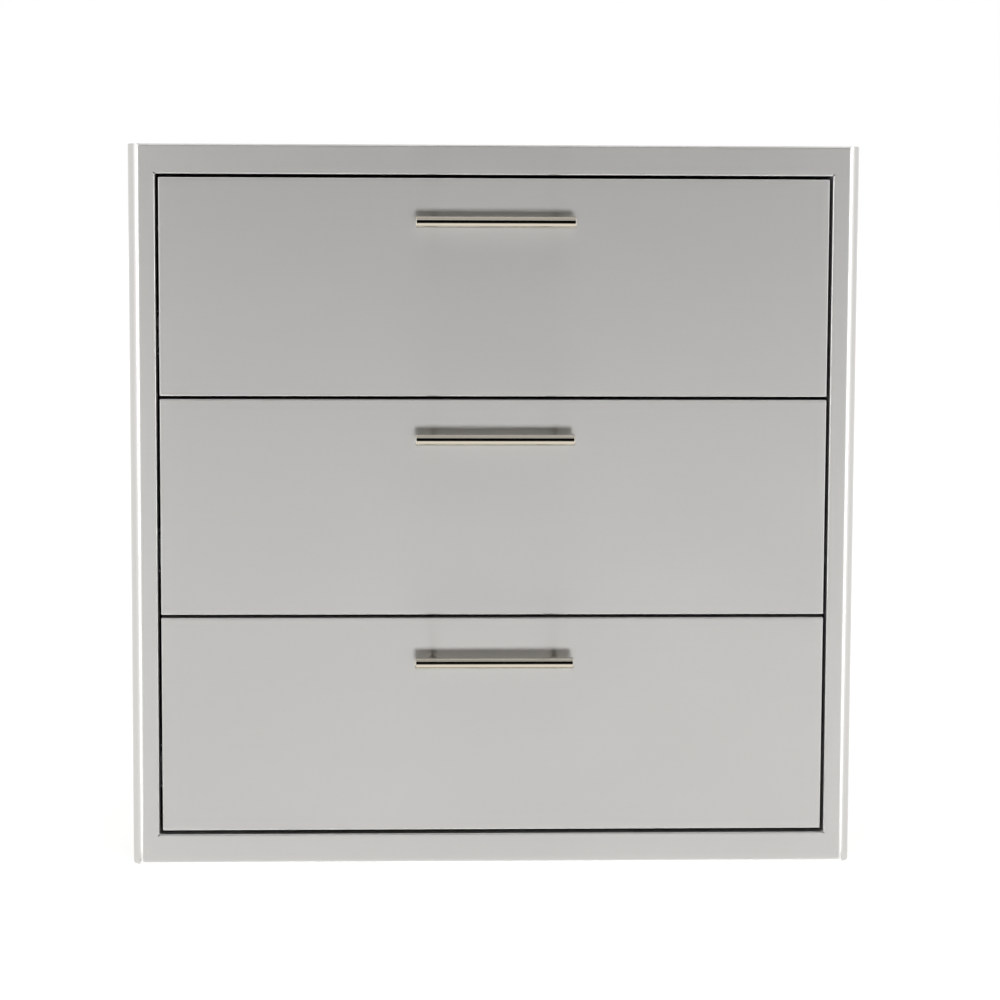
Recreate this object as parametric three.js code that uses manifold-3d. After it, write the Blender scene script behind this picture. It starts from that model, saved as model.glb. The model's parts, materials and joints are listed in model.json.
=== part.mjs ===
// A built-in drawer unit for an outdoor kitchen, in stainless steel: a flanged front frame, a sheet cabinet
// behind it, and three equal drawers on full-extension ball-bearing slides, each with a round bar handle.
// Millimetres, +Z up, the fronts facing -Y. The origin is at the middle of the unit's base.
import * as THREE from "three";
import { mergeVertices } from "three/addons/utils/BufferGeometryUtils.js";
import Module from "manifold-3d";

const wasm = await Module();
wasm.setup();

// Shared fits: the film of air between faces that touch, and how far a cutter runs past what it cuts.
const seatGap = 0.2;
const overrun = 5;

// Front frame: one folded sheet whose left and right edges are rolled and whose top and bottom are bent.
const frameWidth = 762;
const frameSheet = 1.2;
const frameDepth = 25;
const frameRollInside = 10.8;
const frameBendInside = 0.8;
const frameRearLip = 10;
const frameSideBand = 28.4;
const frameTopBand = 30.8;
const frameBottomBand = 32.2;
const jambDepth = 22;
const cornerReliefRadius = 1.6;
const cornerReliefDepth = 4;

// Drawer fronts: a skin pan closed from behind by a liner pan.
const frontHeight = 227;
const frontDepth = 19;
const frontSheet = 1;
const frontBendInside = 0.6;
const linerFlange = 11;
const sideGap = 3.2;
const gapAboveTopFront = 3.6;
const gapBetweenFronts = 3.5;
const gapBelowBottomFront = 4.4;

// Handles: a round bar on two posts, with a machine screw from inside the front into each post.
const barDiameter = 12;
const barLength = 166;
const barChamfer = 0.9;
const barStandoff = 29;
const postDiameter = 10;
const postSpacing = 128;
const postChamfer = 0.6;
const postHoleDepth = 15;
const screwDiameter = 4;
const screwTipGap = 1;
const screwRunningGap = 0.3;
const screwHoleGap = 0.5;
const screwHeadDiameter = 8;
const screwHeadHeight = 2.4;
const screwHeadEdge = 1.2;
const screwHeadCrown = 2.4;

// The three drawers from the bottom up, with the drop from each front's top edge to its handle.
const bottomHandleDrop = 43.9;
const middleHandleDrop = 39.8;
const topHandleDrop = 44.8;

// Trays: one folded sheet each, as long as its slides, with a hem round the rim below the handle screws.
const traySheet = 1;
const trayHemHeight = 8;
const trayRise = 20;
const trayScrewGap = 8.2;

// Slides: outer, middle and inner channels, with a ball cage between each two.
const slideLength = 500;
const slideThickness = 12.7;
const slideHeight = 45.6;
const slideSheet = 1.2;
const slideSetback = 2.5;
const slideRise = 45;
const slideTipSetback = 2;
const slideLip = 1;
const middleRearGap = 2.8;
const innerRearGap = 10;
const ballDiameter = 3.6;
const ballClearance = 0.2;
const cageSheet = 0.5;
const cageClearance = 0.25;
const cageLip = 0.5;
const cageLength = 240;
const cageSetback = 126;
const cageStrap = 14;
const cageRail = 5;

// Cabinet panels behind the frame, with room for the slides' stops at the rear.
const cabinetRearGap = 15.5;
const panelSheet = 1;
const panelFlange = 12;
const fixingHoleRadius = 3;
const fixingHoleInset = 60;

// Counts of facets round a bend, a bar, a post or screw, and a ball.
const bendFacets = 2;
const rollFacets = 8;
const barFacets = 28;
const roundFacets = 16;
const ballFacets = 6;
const ballRings = 4;
const ballsPerRow = 3;
const cageWindows = 2;

const drawers = [
  { name: "bottom", handleDrop: bottomHandleDrop },
  { name: "middle", handleDrop: middleHandleDrop },
  { name: "top", handleDrop: topHandleDrop },
];
const sides = [
  { name: "left", sign: -1 },
  { name: "right", sign: 1 },
];

// Heights and widths that follow from the driving sizes.
const openingHalfWidth = frameWidth / 2 - frameSideBand;
const openingBottom = frameBottomBand;
const stackHeight = drawers.length * frontHeight + (drawers.length - 1) * gapBetweenFronts;
const openingTop = openingBottom + gapBelowBottomFront + stackHeight + gapAboveTopFront;
const frameHeight = openingTop + frameTopBand;
const frontHalfWidth = openingHalfWidth - sideGap;
const frameRoll = frameRollInside + frameSheet;
const frameBend = frameBendInside + frameSheet;
const frontBend = frontBendInside + frontSheet;

const panelInside = openingHalfWidth + frameSheet + seatGap;
const slideMount = panelInside - seatGap;
const trayHalfWidth = slideMount - slideThickness - seatGap;
const panelFront = frameSheet + seatGap;
const plateHalfWidth = panelInside - seatGap;
const floorTop = openingBottom - frameSheet - seatGap;
const roofBottom = openingTop + frameSheet + seatGap;

const slideFront = jambDepth + slideSetback;
const slideRear = slideFront + slideLength;
const slideMiddleHeight = trayRise + slideRise;
const cabinetDepth = slideRear + cabinetRearGap;
const backPlateRear = cabinetDepth - panelSheet - seatGap;

const lowestHandle = frontHeight - Math.max(...drawers.map(({ handleDrop }) => handleDrop));
const trayTop = lowestHandle - screwHeadDiameter / 2 - trayScrewGap;
const trayFront = frontDepth + seatGap;
const trayRear = trayFront + slideLength;
const barRadius = barDiameter / 2;
const handleReach = barStandoff + barRadius;

// Slide section, as depths from the cabinet side (web and tip) and half heights from the slide's middle.
const raceGap = ballDiameter + 2 * ballClearance;
const outerHalf = slideHeight / 2;
const middleHalf = outerHalf - slideSheet - raceGap;
const innerHalf = middleHalf - slideSheet - raceGap;
const outerBallHeight = middleHalf + raceGap / 2;
const innerBallHeight = innerHalf + raceGap / 2;
const outerCageWeb = slideSheet + cageClearance;
const middleWeb = outerCageWeb + cageSheet + cageClearance;
const innerCageWeb = middleWeb + slideSheet + cageClearance;
const innerTip = innerCageWeb + cageSheet + cageClearance;
const channelTip = slideThickness - slideTipSetback;
const lipFace = channelTip - slideSheet;
const cageTip = lipFace - cageClearance;
const outerBallDepth = (slideSheet + lipFace) / 2;
const innerBallDepth = (middleWeb + slideSheet + lipFace) / 2;
const cageFront = slideFront + cageSetback;

const finishes = {
  brushedSteel: { color: 0xbcbbb8, roughness: 0.36, metalness: 1 },
  polishedSteel: { color: 0xd6d3cb, roughness: 0.12, metalness: 1 },
  plainSteel: { color: 0xa9abac, roughness: 0.45, metalness: 1 },
  zincSteel: { color: 0xb7bcc0, roughness: 0.3, metalness: 1 },
};

// The solid of a closed geometry, with the vertices that its faces share merged.
function solidOf(geometry) {
  const bare = geometry.clone();
  bare.deleteAttribute("normal");
  bare.deleteAttribute("uv");
  const merged = mergeVertices(bare);
  return new wasm.Manifold(
    new wasm.Mesh({
      numProp: 3,
      vertProperties: new Float32Array(merged.attributes.position.array),
      triVerts: new Uint32Array(merged.index.array),
    }),
  );
}

// A named mesh of a solid in its finish.
function piece(name, solid, finish) {
  const { numProp, numVert, vertProperties, triVerts } = solid.getMesh();
  const points = new Float32Array(numVert * 3);
  for (let i = 0; i < numVert; i++) {
    points.set(vertProperties.subarray(i * numProp, i * numProp + 3), i * 3);
  }
  const geometry = new THREE.BufferGeometry();
  geometry.setAttribute("position", new THREE.BufferAttribute(points, 3));
  geometry.setIndex(new THREE.BufferAttribute(new Uint32Array(triVerts), 1));
  geometry.computeVertexNormals();
  const mesh = new THREE.Mesh(geometry, new THREE.MeshStandardMaterial(finish));
  mesh.name = name;
  return mesh;
}

// A rectangular block between its lowest and its highest corner.
function block([x0, y0, z0], [x1, y1, z1]) {
  const geometry = new THREE.BoxGeometry(x1 - x0, y1 - y0, z1 - z0);
  geometry.translate((x0 + x1) / 2, (y0 + y1) / 2, (z0 + z1) / 2);
  return solidOf(geometry);
}

const unitX = new THREE.Vector3(1, 0, 0);
const unitY = new THREE.Vector3(0, 1, 0);
const unitZ = new THREE.Vector3(0, 0, 1);

// A section run along an axis. Along x the section is drawn in (z, y), along y in (x, z), along z in (x, y).
function run(shape, axis, from, to, facets) {
  const options = { depth: to - from, bevelEnabled: false, curveSegments: facets };
  const geometry = new THREE.ExtrudeGeometry(shape, options);
  const frame = new THREE.Matrix4();
  if (axis === "x") frame.makeBasis(unitZ, unitY, unitX.clone().negate()).setPosition(to, 0, 0);
  if (axis === "y") frame.makeBasis(unitX, unitZ, unitY.clone().negate()).setPosition(0, to, 0);
  if (axis === "z") frame.setPosition(0, 0, from);
  return solidOf(geometry.applyMatrix4(frame));
}

// A closed outline through points given as pairs.
function outline(points) {
  return new THREE.Shape(points.map(([across, up]) => new THREE.Vector2(across, up)));
}

// A body turned about the Y axis from (radius, y) pairs that start and end on the axis, in rising y.
function turned(profile, facets) {
  return solidOf(new THREE.LatheGeometry(profile.map(([r, y]) => new THREE.Vector2(r, y)), facets));
}

// A round bar along Y between two ends, as a cutter or a blank.
function rod(radius, from, to, facets) {
  return turned([[0, from], [radius, from], [radius, to], [0, to]], facets);
}

// A rectangle with its two front corners rounded, drawn as (across, depth).
function bentRectangle(low, high, front, back, radius) {
  const shape = new THREE.Shape();
  shape.moveTo(low, back);
  shape.lineTo(low, front + radius);
  shape.absarc(low + radius, front + radius, radius, Math.PI, 1.5 * Math.PI, false);
  shape.absarc(high - radius, front + radius, radius, 1.5 * Math.PI, 2 * Math.PI, false);
  shape.lineTo(high, back);
  shape.closePath();
  return shape;
}

// A block whose four front edges are rounded: its left and right edges by one radius, its ends by another.
function bentBlock({ half, bottom, top, front, back, sideRadius, endRadius, sideFacets }) {
  const plan = bentRectangle(-half, half, front, back, sideRadius);
  const profile = bentRectangle(bottom, top, front, back, endRadius);
  const planRun = run(plan, "z", bottom, top, sideFacets);
  return planRun.intersect(run(profile, "x", -half, half, bendFacets));
}

// Front frame: rolled sides, bent top and bottom, a lip round the rear and a jamb round the opening.
function frontFrame() {
  const half = frameWidth / 2;
  const skin = bentBlock({
    half, bottom: 0, top: frameHeight, front: 0, back: frameDepth,
    sideRadius: frameRoll, endRadius: frameBend, sideFacets: rollFacets,
  });
  const hollow = bentBlock({
    half: half - frameSheet, bottom: frameSheet, top: frameHeight - frameSheet,
    front: frameSheet, back: frameDepth - frameSheet,
    sideRadius: frameRollInside, endRadius: frameBendInside, sideFacets: rollFacets,
  });
  const rearOpening = block(
    [-half + frameRearLip, frameDepth - frameSheet - overrun, frameRearLip],
    [half - frameRearLip, frameDepth + overrun, frameHeight - frameRearLip],
  );
  const jamb = block(
    [-openingHalfWidth - frameSheet, frameSheet / 2, openingBottom - frameSheet],
    [openingHalfWidth + frameSheet, jambDepth, openingTop + frameSheet],
  );
  const opening = block(
    [-openingHalfWidth, -overrun, openingBottom],
    [openingHalfWidth, jambDepth + overrun, openingTop],
  );
  let frame = skin.subtract(hollow).subtract(rearOpening).add(jamb).subtract(opening);
  for (const { sign } of sides) {
    for (const height of [openingBottom, openingTop]) {
      const relief = rod(cornerReliefRadius, -overrun, cornerReliefDepth, roundFacets);
      frame = frame.subtract(relief.translate(sign * openingHalfWidth, 0, height));
    }
  }
  return frame;
}

// Side panel: an upright sheet lapped outside the jamb, with a flange turned in at the rear for the back.
function sidePanel(sign) {
  const outside = panelInside + panelSheet;
  const section = outline([
    [sign * panelInside, panelFront],
    [sign * outside, panelFront],
    [sign * outside, cabinetDepth],
    [sign * (panelInside - panelFlange), cabinetDepth],
    [sign * (panelInside - panelFlange), cabinetDepth - panelSheet],
    [sign * panelInside, cabinetDepth - panelSheet],
  ]);
  const bottom = floorTop - panelSheet;
  const top = roofBottom + panelSheet;
  let panel = run(section, "z", bottom, top, bendFacets);
  for (const height of [bottom + fixingHoleInset, top - fixingHoleInset]) {
    for (const depth of [fixingHoleInset, cabinetDepth - fixingHoleInset]) {
      const hole = rod(fixingHoleRadius, -overrun, overrun, roundFacets).rotate(0, 0, 90);
      panel = panel.subtract(hole.translate(sign * (panelInside + panelSheet / 2), depth, height));
    }
  }
  return panel;
}

// Floor or roof plate: it laps the jamb at the front and turns a flange into the cabinet along each side.
function plate(inside, inward) {
  const outside = inside - inward * panelSheet;
  const edge = inside + inward * panelFlange;
  const flangeFront = jambDepth + seatGap;
  let sheet = block(
    [-plateHalfWidth, panelFront, Math.min(inside, outside)],
    [plateHalfWidth, backPlateRear, Math.max(inside, outside)],
  );
  for (const { sign } of sides) {
    const faces = [sign * plateHalfWidth, sign * (plateHalfWidth - panelSheet)];
    const flange = block(
      [Math.min(...faces), flangeFront, Math.min(outside, edge)],
      [Math.max(...faces), backPlateRear, Math.max(outside, edge)],
    );
    sheet = sheet.add(flange);
  }
  return sheet;
}

// Back plate, inside the rear flanges of the side panels and between the floor and the roof.
function backPlate() {
  const half = plateHalfWidth - panelSheet - seatGap;
  return block(
    [-half, backPlateRear - panelSheet, floorTop + seatGap],
    [half, backPlateRear, roofBottom - seatGap],
  );
}

// The holes that both handle screws of a front pass through.
function screwHoles(solid, handleHeight) {
  const radius = screwDiameter / 2 + screwHoleGap;
  return sides.reduce((cut, { sign }) => {
    const hole = rod(radius, -overrun, frontDepth + overrun, roundFacets);
    return cut.subtract(hole.translate((sign * postSpacing) / 2, 0, handleHeight));
  }, solid);
}

// Drawer front skin: a pan with its face to the front and its four walls turned back.
function frontSkin(handleHeight) {
  const skin = bentBlock({
    half: frontHalfWidth, bottom: 0, top: frontHeight, front: 0, back: frontDepth,
    sideRadius: frontBend, endRadius: frontBend, sideFacets: bendFacets,
  });
  const hollow = bentBlock({
    half: frontHalfWidth - frontSheet, bottom: frontSheet, top: frontHeight - frontSheet,
    front: frontSheet, back: frontDepth + overrun,
    sideRadius: frontBendInside, endRadius: frontBendInside, sideFacets: bendFacets,
  });
  return screwHoles(skin.subtract(hollow), handleHeight);
}

// Drawer front liner: a shallower pan that closes the skin from behind, its flanges inside the skin's walls.
function frontLiner(handleHeight) {
  const inset = frontSheet + seatGap;
  const half = frontHalfWidth - inset;
  const front = frontDepth - frontSheet - linerFlange;
  const body = block([-half, front, inset], [half, frontDepth, frontHeight - inset]);
  const hollow = block(
    [-half + frontSheet, front - overrun, inset + frontSheet],
    [half - frontSheet, frontDepth - frontSheet, frontHeight - inset - frontSheet],
  );
  return screwHoles(body.subtract(hollow), handleHeight);
}

// Tray: floor and four walls, with the rim folded in to a hem of double thickness.
function tray() {
  const hem = 2 * traySheet;
  const body = block([-trayHalfWidth, trayFront, trayRise], [trayHalfWidth, trayRear, trayTop]);
  const cavity = block(
    [-trayHalfWidth + traySheet, trayFront + traySheet, trayRise + traySheet],
    [trayHalfWidth - traySheet, trayRear - traySheet, trayTop - trayHemHeight],
  );
  const mouth = block(
    [-trayHalfWidth + hem, trayFront + hem, trayTop - trayHemHeight - overrun],
    [trayHalfWidth - hem, trayRear - hem, trayTop + overrun],
  );
  return body.subtract(cavity).subtract(mouth);
}

// Handle bar: a round bar with chamfered ends, along X in front of its drawer.
function handleBar(handleHeight) {
  const half = barLength / 2;
  const bar = turned(
    [
      [0, -half],
      [barRadius - barChamfer, -half],
      [barRadius, -half + barChamfer],
      [barRadius, half - barChamfer],
      [barRadius - barChamfer, half],
      [0, half],
    ],
    barFacets,
  );
  return bar.rotate(0, 0, 90).translate(0, -barStandoff, handleHeight);
}

// Handle post: it stands on the skin, ends in a saddle under the bar and has a blind screw hole in its foot.
function handlePost(sign, handleHeight) {
  const radius = postDiameter / 2;
  const holeRadius = screwDiameter / 2 + screwRunningGap;
  const post = turned(
    [
      [0, -barStandoff],
      [radius, -barStandoff],
      [radius, -seatGap - postChamfer],
      [radius - postChamfer, -seatGap],
      [holeRadius, -seatGap],
      [holeRadius, -postHoleDepth],
      [0, -postHoleDepth],
    ],
    roundFacets,
  );
  const saddle = rod(barRadius + seatGap, -barRadius, barRadius, barFacets);
  const cut = post.subtract(saddle.rotate(0, 0, 90).translate(0, -barStandoff, 0));
  return cut.translate((sign * postSpacing) / 2, 0, handleHeight);
}

// Handle screw: a pan head on the liner and a shank through both pans into the post.
function handleScrew(sign, handleHeight) {
  const radius = screwDiameter / 2;
  const headRadius = screwHeadDiameter / 2;
  const seat = frontDepth + seatGap;
  const screw = turned(
    [
      [0, screwTipGap - postHoleDepth],
      [radius, screwTipGap - postHoleDepth],
      [radius, seat],
      [headRadius, seat],
      [headRadius, seat + screwHeadEdge],
      [screwHeadCrown, seat + screwHeadHeight],
      [0, seat + screwHeadHeight],
    ],
    roundFacets,
  );
  return screw.translate((sign * postSpacing) / 2, 0, handleHeight);
}

// A lipped channel section of a slide: its web at one depth, its flanges running to their tips at another.
function channelSection(sign, web, tip, half, sheet, lip) {
  const step = Math.sign(tip - web) * sheet;
  const upper = [
    [web, half],
    [tip, half],
    [tip, half - sheet - lip],
    [tip - step, half - sheet - lip],
    [tip - step, half - sheet],
    [web + step, half - sheet],
  ];
  const lower = upper.map(([depth, height]) => [depth, -height]).reverse();
  return outline([...upper, ...lower].map(([depth, height]) => [sign * (slideMount - depth), height]));
}

// A straight length of channel at the height of its drawer's slides.
function channel(section, from, to) {
  return run(section, "y", from, to, bendFacets).translate(0, 0, slideMiddleHeight);
}

// Outer member, screwed to the cabinet side, with a tab bent across its rear end to stop the drawer.
function outerMember(sign) {
  const section = channelSection(sign, 0, channelTip, outerHalf, slideSheet, slideLip);
  const faces = [sign * slideMount, sign * (slideMount - channelTip)];
  const stop = block(
    [Math.min(...faces), slideRear - slideSheet, slideMiddleHeight - innerHalf],
    [Math.max(...faces), slideRear, slideMiddleHeight + innerHalf],
  );
  return channel(section, slideFront, slideRear).add(stop);
}

// Middle member, which rolls out half as far as the drawer.
function middleMember(sign) {
  const section = channelSection(sign, middleWeb, channelTip, middleHalf, slideSheet, slideLip);
  return channel(section, slideFront, slideRear - slideSheet - middleRearGap);
}

// Inner member, fixed to the tray, its channel facing the cabinet side.
function innerMember(sign) {
  const section = channelSection(sign, slideThickness, innerTip, innerHalf, slideSheet, slideLip);
  return channel(section, slideFront, slideRear - innerRearGap);
}

// Ball cage: a thin channel with windows in its web and a row of captive balls along each flange.
function ballCage(sign, web, ballDepth, ballHeight) {
  const half = ballHeight + cageSheet / 2;
  const section = channelSection(sign, web, cageTip, half, cageSheet, cageLip);
  let cage = channel(section, cageFront, cageFront + cageLength);
  const windowPitch = (cageLength - cageStrap) / cageWindows;
  const faces = [sign * (slideMount - web) - overrun, sign * (slideMount - web) + overrun];
  for (let i = 0; i < cageWindows; i++) {
    const start = cageFront + cageStrap + i * windowPitch;
    const opening = block(
      [faces[0], start, slideMiddleHeight - half + cageRail],
      [faces[1], start + windowPitch - cageStrap, slideMiddleHeight + half - cageRail],
    );
    cage = cage.subtract(opening);
  }
  const firstBall = cageFront + cageStrap;
  const ballPitch = (cageLength - 2 * cageStrap) / (ballsPerRow - 1);
  const ball = solidOf(new THREE.SphereGeometry(ballDiameter / 2, ballFacets, ballRings));
  for (let i = 0; i < ballsPerRow; i++) {
    for (const level of [-ballHeight, ballHeight]) {
      const place = [sign * (slideMount - ballDepth), firstBall + i * ballPitch, slideMiddleHeight + level];
      cage = cage.add(ball.translate(...place));
    }
  }
  return cage;
}

// The cabinet: the front frame and the five sheets behind it.
function cabinetGroup() {
  const group = new THREE.Group();
  group.add(piece("front_frame", frontFrame(), finishes.brushedSteel));
  for (const { name, sign } of sides) {
    group.add(piece(`${name}_side_panel`, sidePanel(sign), finishes.plainSteel));
  }
  group.add(piece("top_panel", plate(roofBottom, -1), finishes.plainSteel));
  group.add(piece("bottom_panel", plate(floorTop, 1), finishes.plainSteel));
  group.add(piece("back_panel", backPlate(), finishes.plainSteel));
  return group;
}

// One slide: three channels and the two cages that carry them on each other.
function slideGroup(drawerName, { name, sign }) {
  const group = new THREE.Group();
  const add = (part, solid) => group.add(piece(`${drawerName}_${part}_${name}`, solid, finishes.zincSteel));
  add("slide_outer", outerMember(sign));
  add("slide_middle", middleMember(sign));
  add("slide_inner", innerMember(sign));
  add("outer_cage", ballCage(sign, outerCageWeb, outerBallDepth, outerBallHeight));
  add("inner_cage", ballCage(sign, innerCageWeb, innerBallDepth, innerBallHeight));
  return group;
}

// One drawer with its handle and its two slides, at its own height in the opening.
function drawerGroup({ name, handleDrop }, index) {
  const group = new THREE.Group();
  const handleHeight = frontHeight - handleDrop;
  group.add(piece(`${name}_front_skin`, frontSkin(handleHeight), finishes.brushedSteel));
  group.add(piece(`${name}_front_liner`, frontLiner(handleHeight), finishes.plainSteel));
  group.add(piece(`${name}_tray`, tray(), finishes.plainSteel));
  group.add(piece(`${name}_handle_bar`, handleBar(handleHeight), finishes.polishedSteel));
  for (const side of sides) {
    const post = handlePost(side.sign, handleHeight);
    const screw = handleScrew(side.sign, handleHeight);
    group.add(piece(`${name}_handle_post_${side.name}`, post, finishes.polishedSteel));
    group.add(piece(`${name}_handle_screw_${side.name}`, screw, finishes.plainSteel));
    group.add(slideGroup(name, side));
  }
  group.position.z = openingBottom + gapBelowBottomFront + index * (frontHeight + gapBetweenFronts);
  return group;
}

const assembly = new THREE.Group();
assembly.add(cabinetGroup());
drawers.forEach((drawer, index) => assembly.add(drawerGroup(drawer, index)));
assembly.position.y = (handleReach - cabinetDepth) / 2;

const unit = new THREE.Group();
unit.name = "outdoor_kitchen_drawer_unit";
unit.add(assembly);
export default unit;
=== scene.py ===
"""Looks of a built-in outdoor kitchen drawer unit in stainless steel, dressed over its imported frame.

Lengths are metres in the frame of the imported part: +Z up, the drawer fronts facing -Y. Places come from the
frame's nodes. What the frame doesn't hold, such as bend radii, is a field of the class that makes the piece.
"""

import json
import logging
from dataclasses import dataclass
from enum import Enum
from functools import cached_property
from math import acos, atan2, cos, pi, radians, sin, sqrt, tan, tau
from typing import Any, Iterable, Sequence

import bpy
import bmesh
from bpy.types import ID, Material, Mesh, Node, NodeSocket, NodeTree, Object
from mathutils import Matrix, Vector

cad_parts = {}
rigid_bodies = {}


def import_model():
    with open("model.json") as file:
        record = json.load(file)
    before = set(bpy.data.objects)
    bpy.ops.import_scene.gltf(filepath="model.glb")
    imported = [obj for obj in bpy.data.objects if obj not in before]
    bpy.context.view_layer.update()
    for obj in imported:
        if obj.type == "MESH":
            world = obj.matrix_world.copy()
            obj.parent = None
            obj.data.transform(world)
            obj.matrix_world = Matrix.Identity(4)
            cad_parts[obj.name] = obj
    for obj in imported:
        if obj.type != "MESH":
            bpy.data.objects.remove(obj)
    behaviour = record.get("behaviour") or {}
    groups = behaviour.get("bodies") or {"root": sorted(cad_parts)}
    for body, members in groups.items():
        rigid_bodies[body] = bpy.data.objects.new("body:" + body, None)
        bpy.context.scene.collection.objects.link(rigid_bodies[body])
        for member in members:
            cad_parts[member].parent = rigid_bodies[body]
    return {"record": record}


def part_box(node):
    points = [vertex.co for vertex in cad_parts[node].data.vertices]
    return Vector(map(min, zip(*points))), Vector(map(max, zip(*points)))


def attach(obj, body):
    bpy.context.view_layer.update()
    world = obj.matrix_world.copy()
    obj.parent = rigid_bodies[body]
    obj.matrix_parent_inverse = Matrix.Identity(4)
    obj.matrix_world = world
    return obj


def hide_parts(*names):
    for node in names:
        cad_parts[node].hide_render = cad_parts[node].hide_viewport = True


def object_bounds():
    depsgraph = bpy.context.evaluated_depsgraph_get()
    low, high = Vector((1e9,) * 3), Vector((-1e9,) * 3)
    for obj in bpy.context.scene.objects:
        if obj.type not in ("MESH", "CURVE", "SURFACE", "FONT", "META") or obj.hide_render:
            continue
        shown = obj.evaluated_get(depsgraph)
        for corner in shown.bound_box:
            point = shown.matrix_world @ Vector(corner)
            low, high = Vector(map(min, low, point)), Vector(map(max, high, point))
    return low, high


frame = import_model()
cad_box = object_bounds()

log = logging.getLogger("drawer_unit")

MM = 0.001
WELD = 0.001 * MM  # points nearer than this are one
AXIS_RADIUS = 0.0002 * MM  # the radius of a turned body's end that closes on its axis
BODY_OF = {node: body for body, nodes in frame["record"]["behaviour"]["bodies"].items() for node in nodes}
SLOT_OF = {row["node"]: row["material_slot"] for row in frame["record"]["subparts"]}

DRAWERS = ("bottom", "middle", "top")
BACK = Vector((0, 1, 0))

Point2 = tuple[float, float]
Path2 = list[Point2]
Seats = Sequence[tuple[Vector, Vector]]  # places, each with the way out of the surface there


def add_node(
    tree: NodeTree,
    kind: str,
    settings: dict[str | int, Any] | None = None,
    links: dict[str | int, Node | NodeSocket] | None = None,
) -> Node:
    """Adds a node to a shader or a geometry tree.

    Args:
        tree: The tree that takes the node.
        kind: The node's type, such as "ShaderNodeTexNoise".
        settings: Values by property name, or by the name or place of an input.
        links: Sources by the name or place of the input that each feeds; a node stands for its first output.

    Returns:
        The new node.
    """
    node = tree.nodes.new(kind)
    for name, value in (settings or {}).items():
        if isinstance(name, str) and hasattr(node, name):
            setattr(node, name, value)
        else:
            node.inputs[name].default_value = value
    for name, source in (links or {}).items():
        socket = source.outputs[0] if isinstance(source, Node) else source
        tree.links.new(socket, node.inputs[name])
    return node


def new_object(name: str, data: ID) -> Object:
    """Makes an object and puts it in the scene.

    Args:
        name: The object's name.
        data: Its mesh, lamp or camera.

    Returns:
        The object.
    """
    obj = bpy.data.objects.new(name, data)
    bpy.context.scene.collection.objects.link(obj)
    return obj


def new_material(name: str, looks: dict[str, Any]) -> tuple[Material, Node]:
    """Makes a material with a Principled shader.

    Args:
        name: The material's name.
        looks: Values by the name of the shader's input.

    Returns:
        The material and its shader.
    """
    material = bpy.data.materials.new(name)
    material.use_nodes = True
    shader = material.node_tree.nodes["Principled BSDF"]
    for label, value in looks.items():
        shader.inputs[label].default_value = value
    return material, shader


def linear(code: str) -> tuple[float, float, float, float]:
    """Turns an sRGB hex colour such as "#8A8C8E" into linear red, green, blue and alpha."""
    channels = [int(code[i : i + 2], 16) / 255 for i in (1, 3, 5)]
    return (*[c / 12.92 if c <= 0.04045 else ((c + 0.055) / 1.055) ** 2.4 for c in channels], 1.0)


class Axis(Enum):
    """A direction of the frame."""

    X = 0
    Y = 1
    Z = 2

    @property
    def unit(self) -> Vector:
        """The unit vector along this axis."""
        return Vector([1.0 if i == self.value else 0.0 for i in range(3)])


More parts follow.
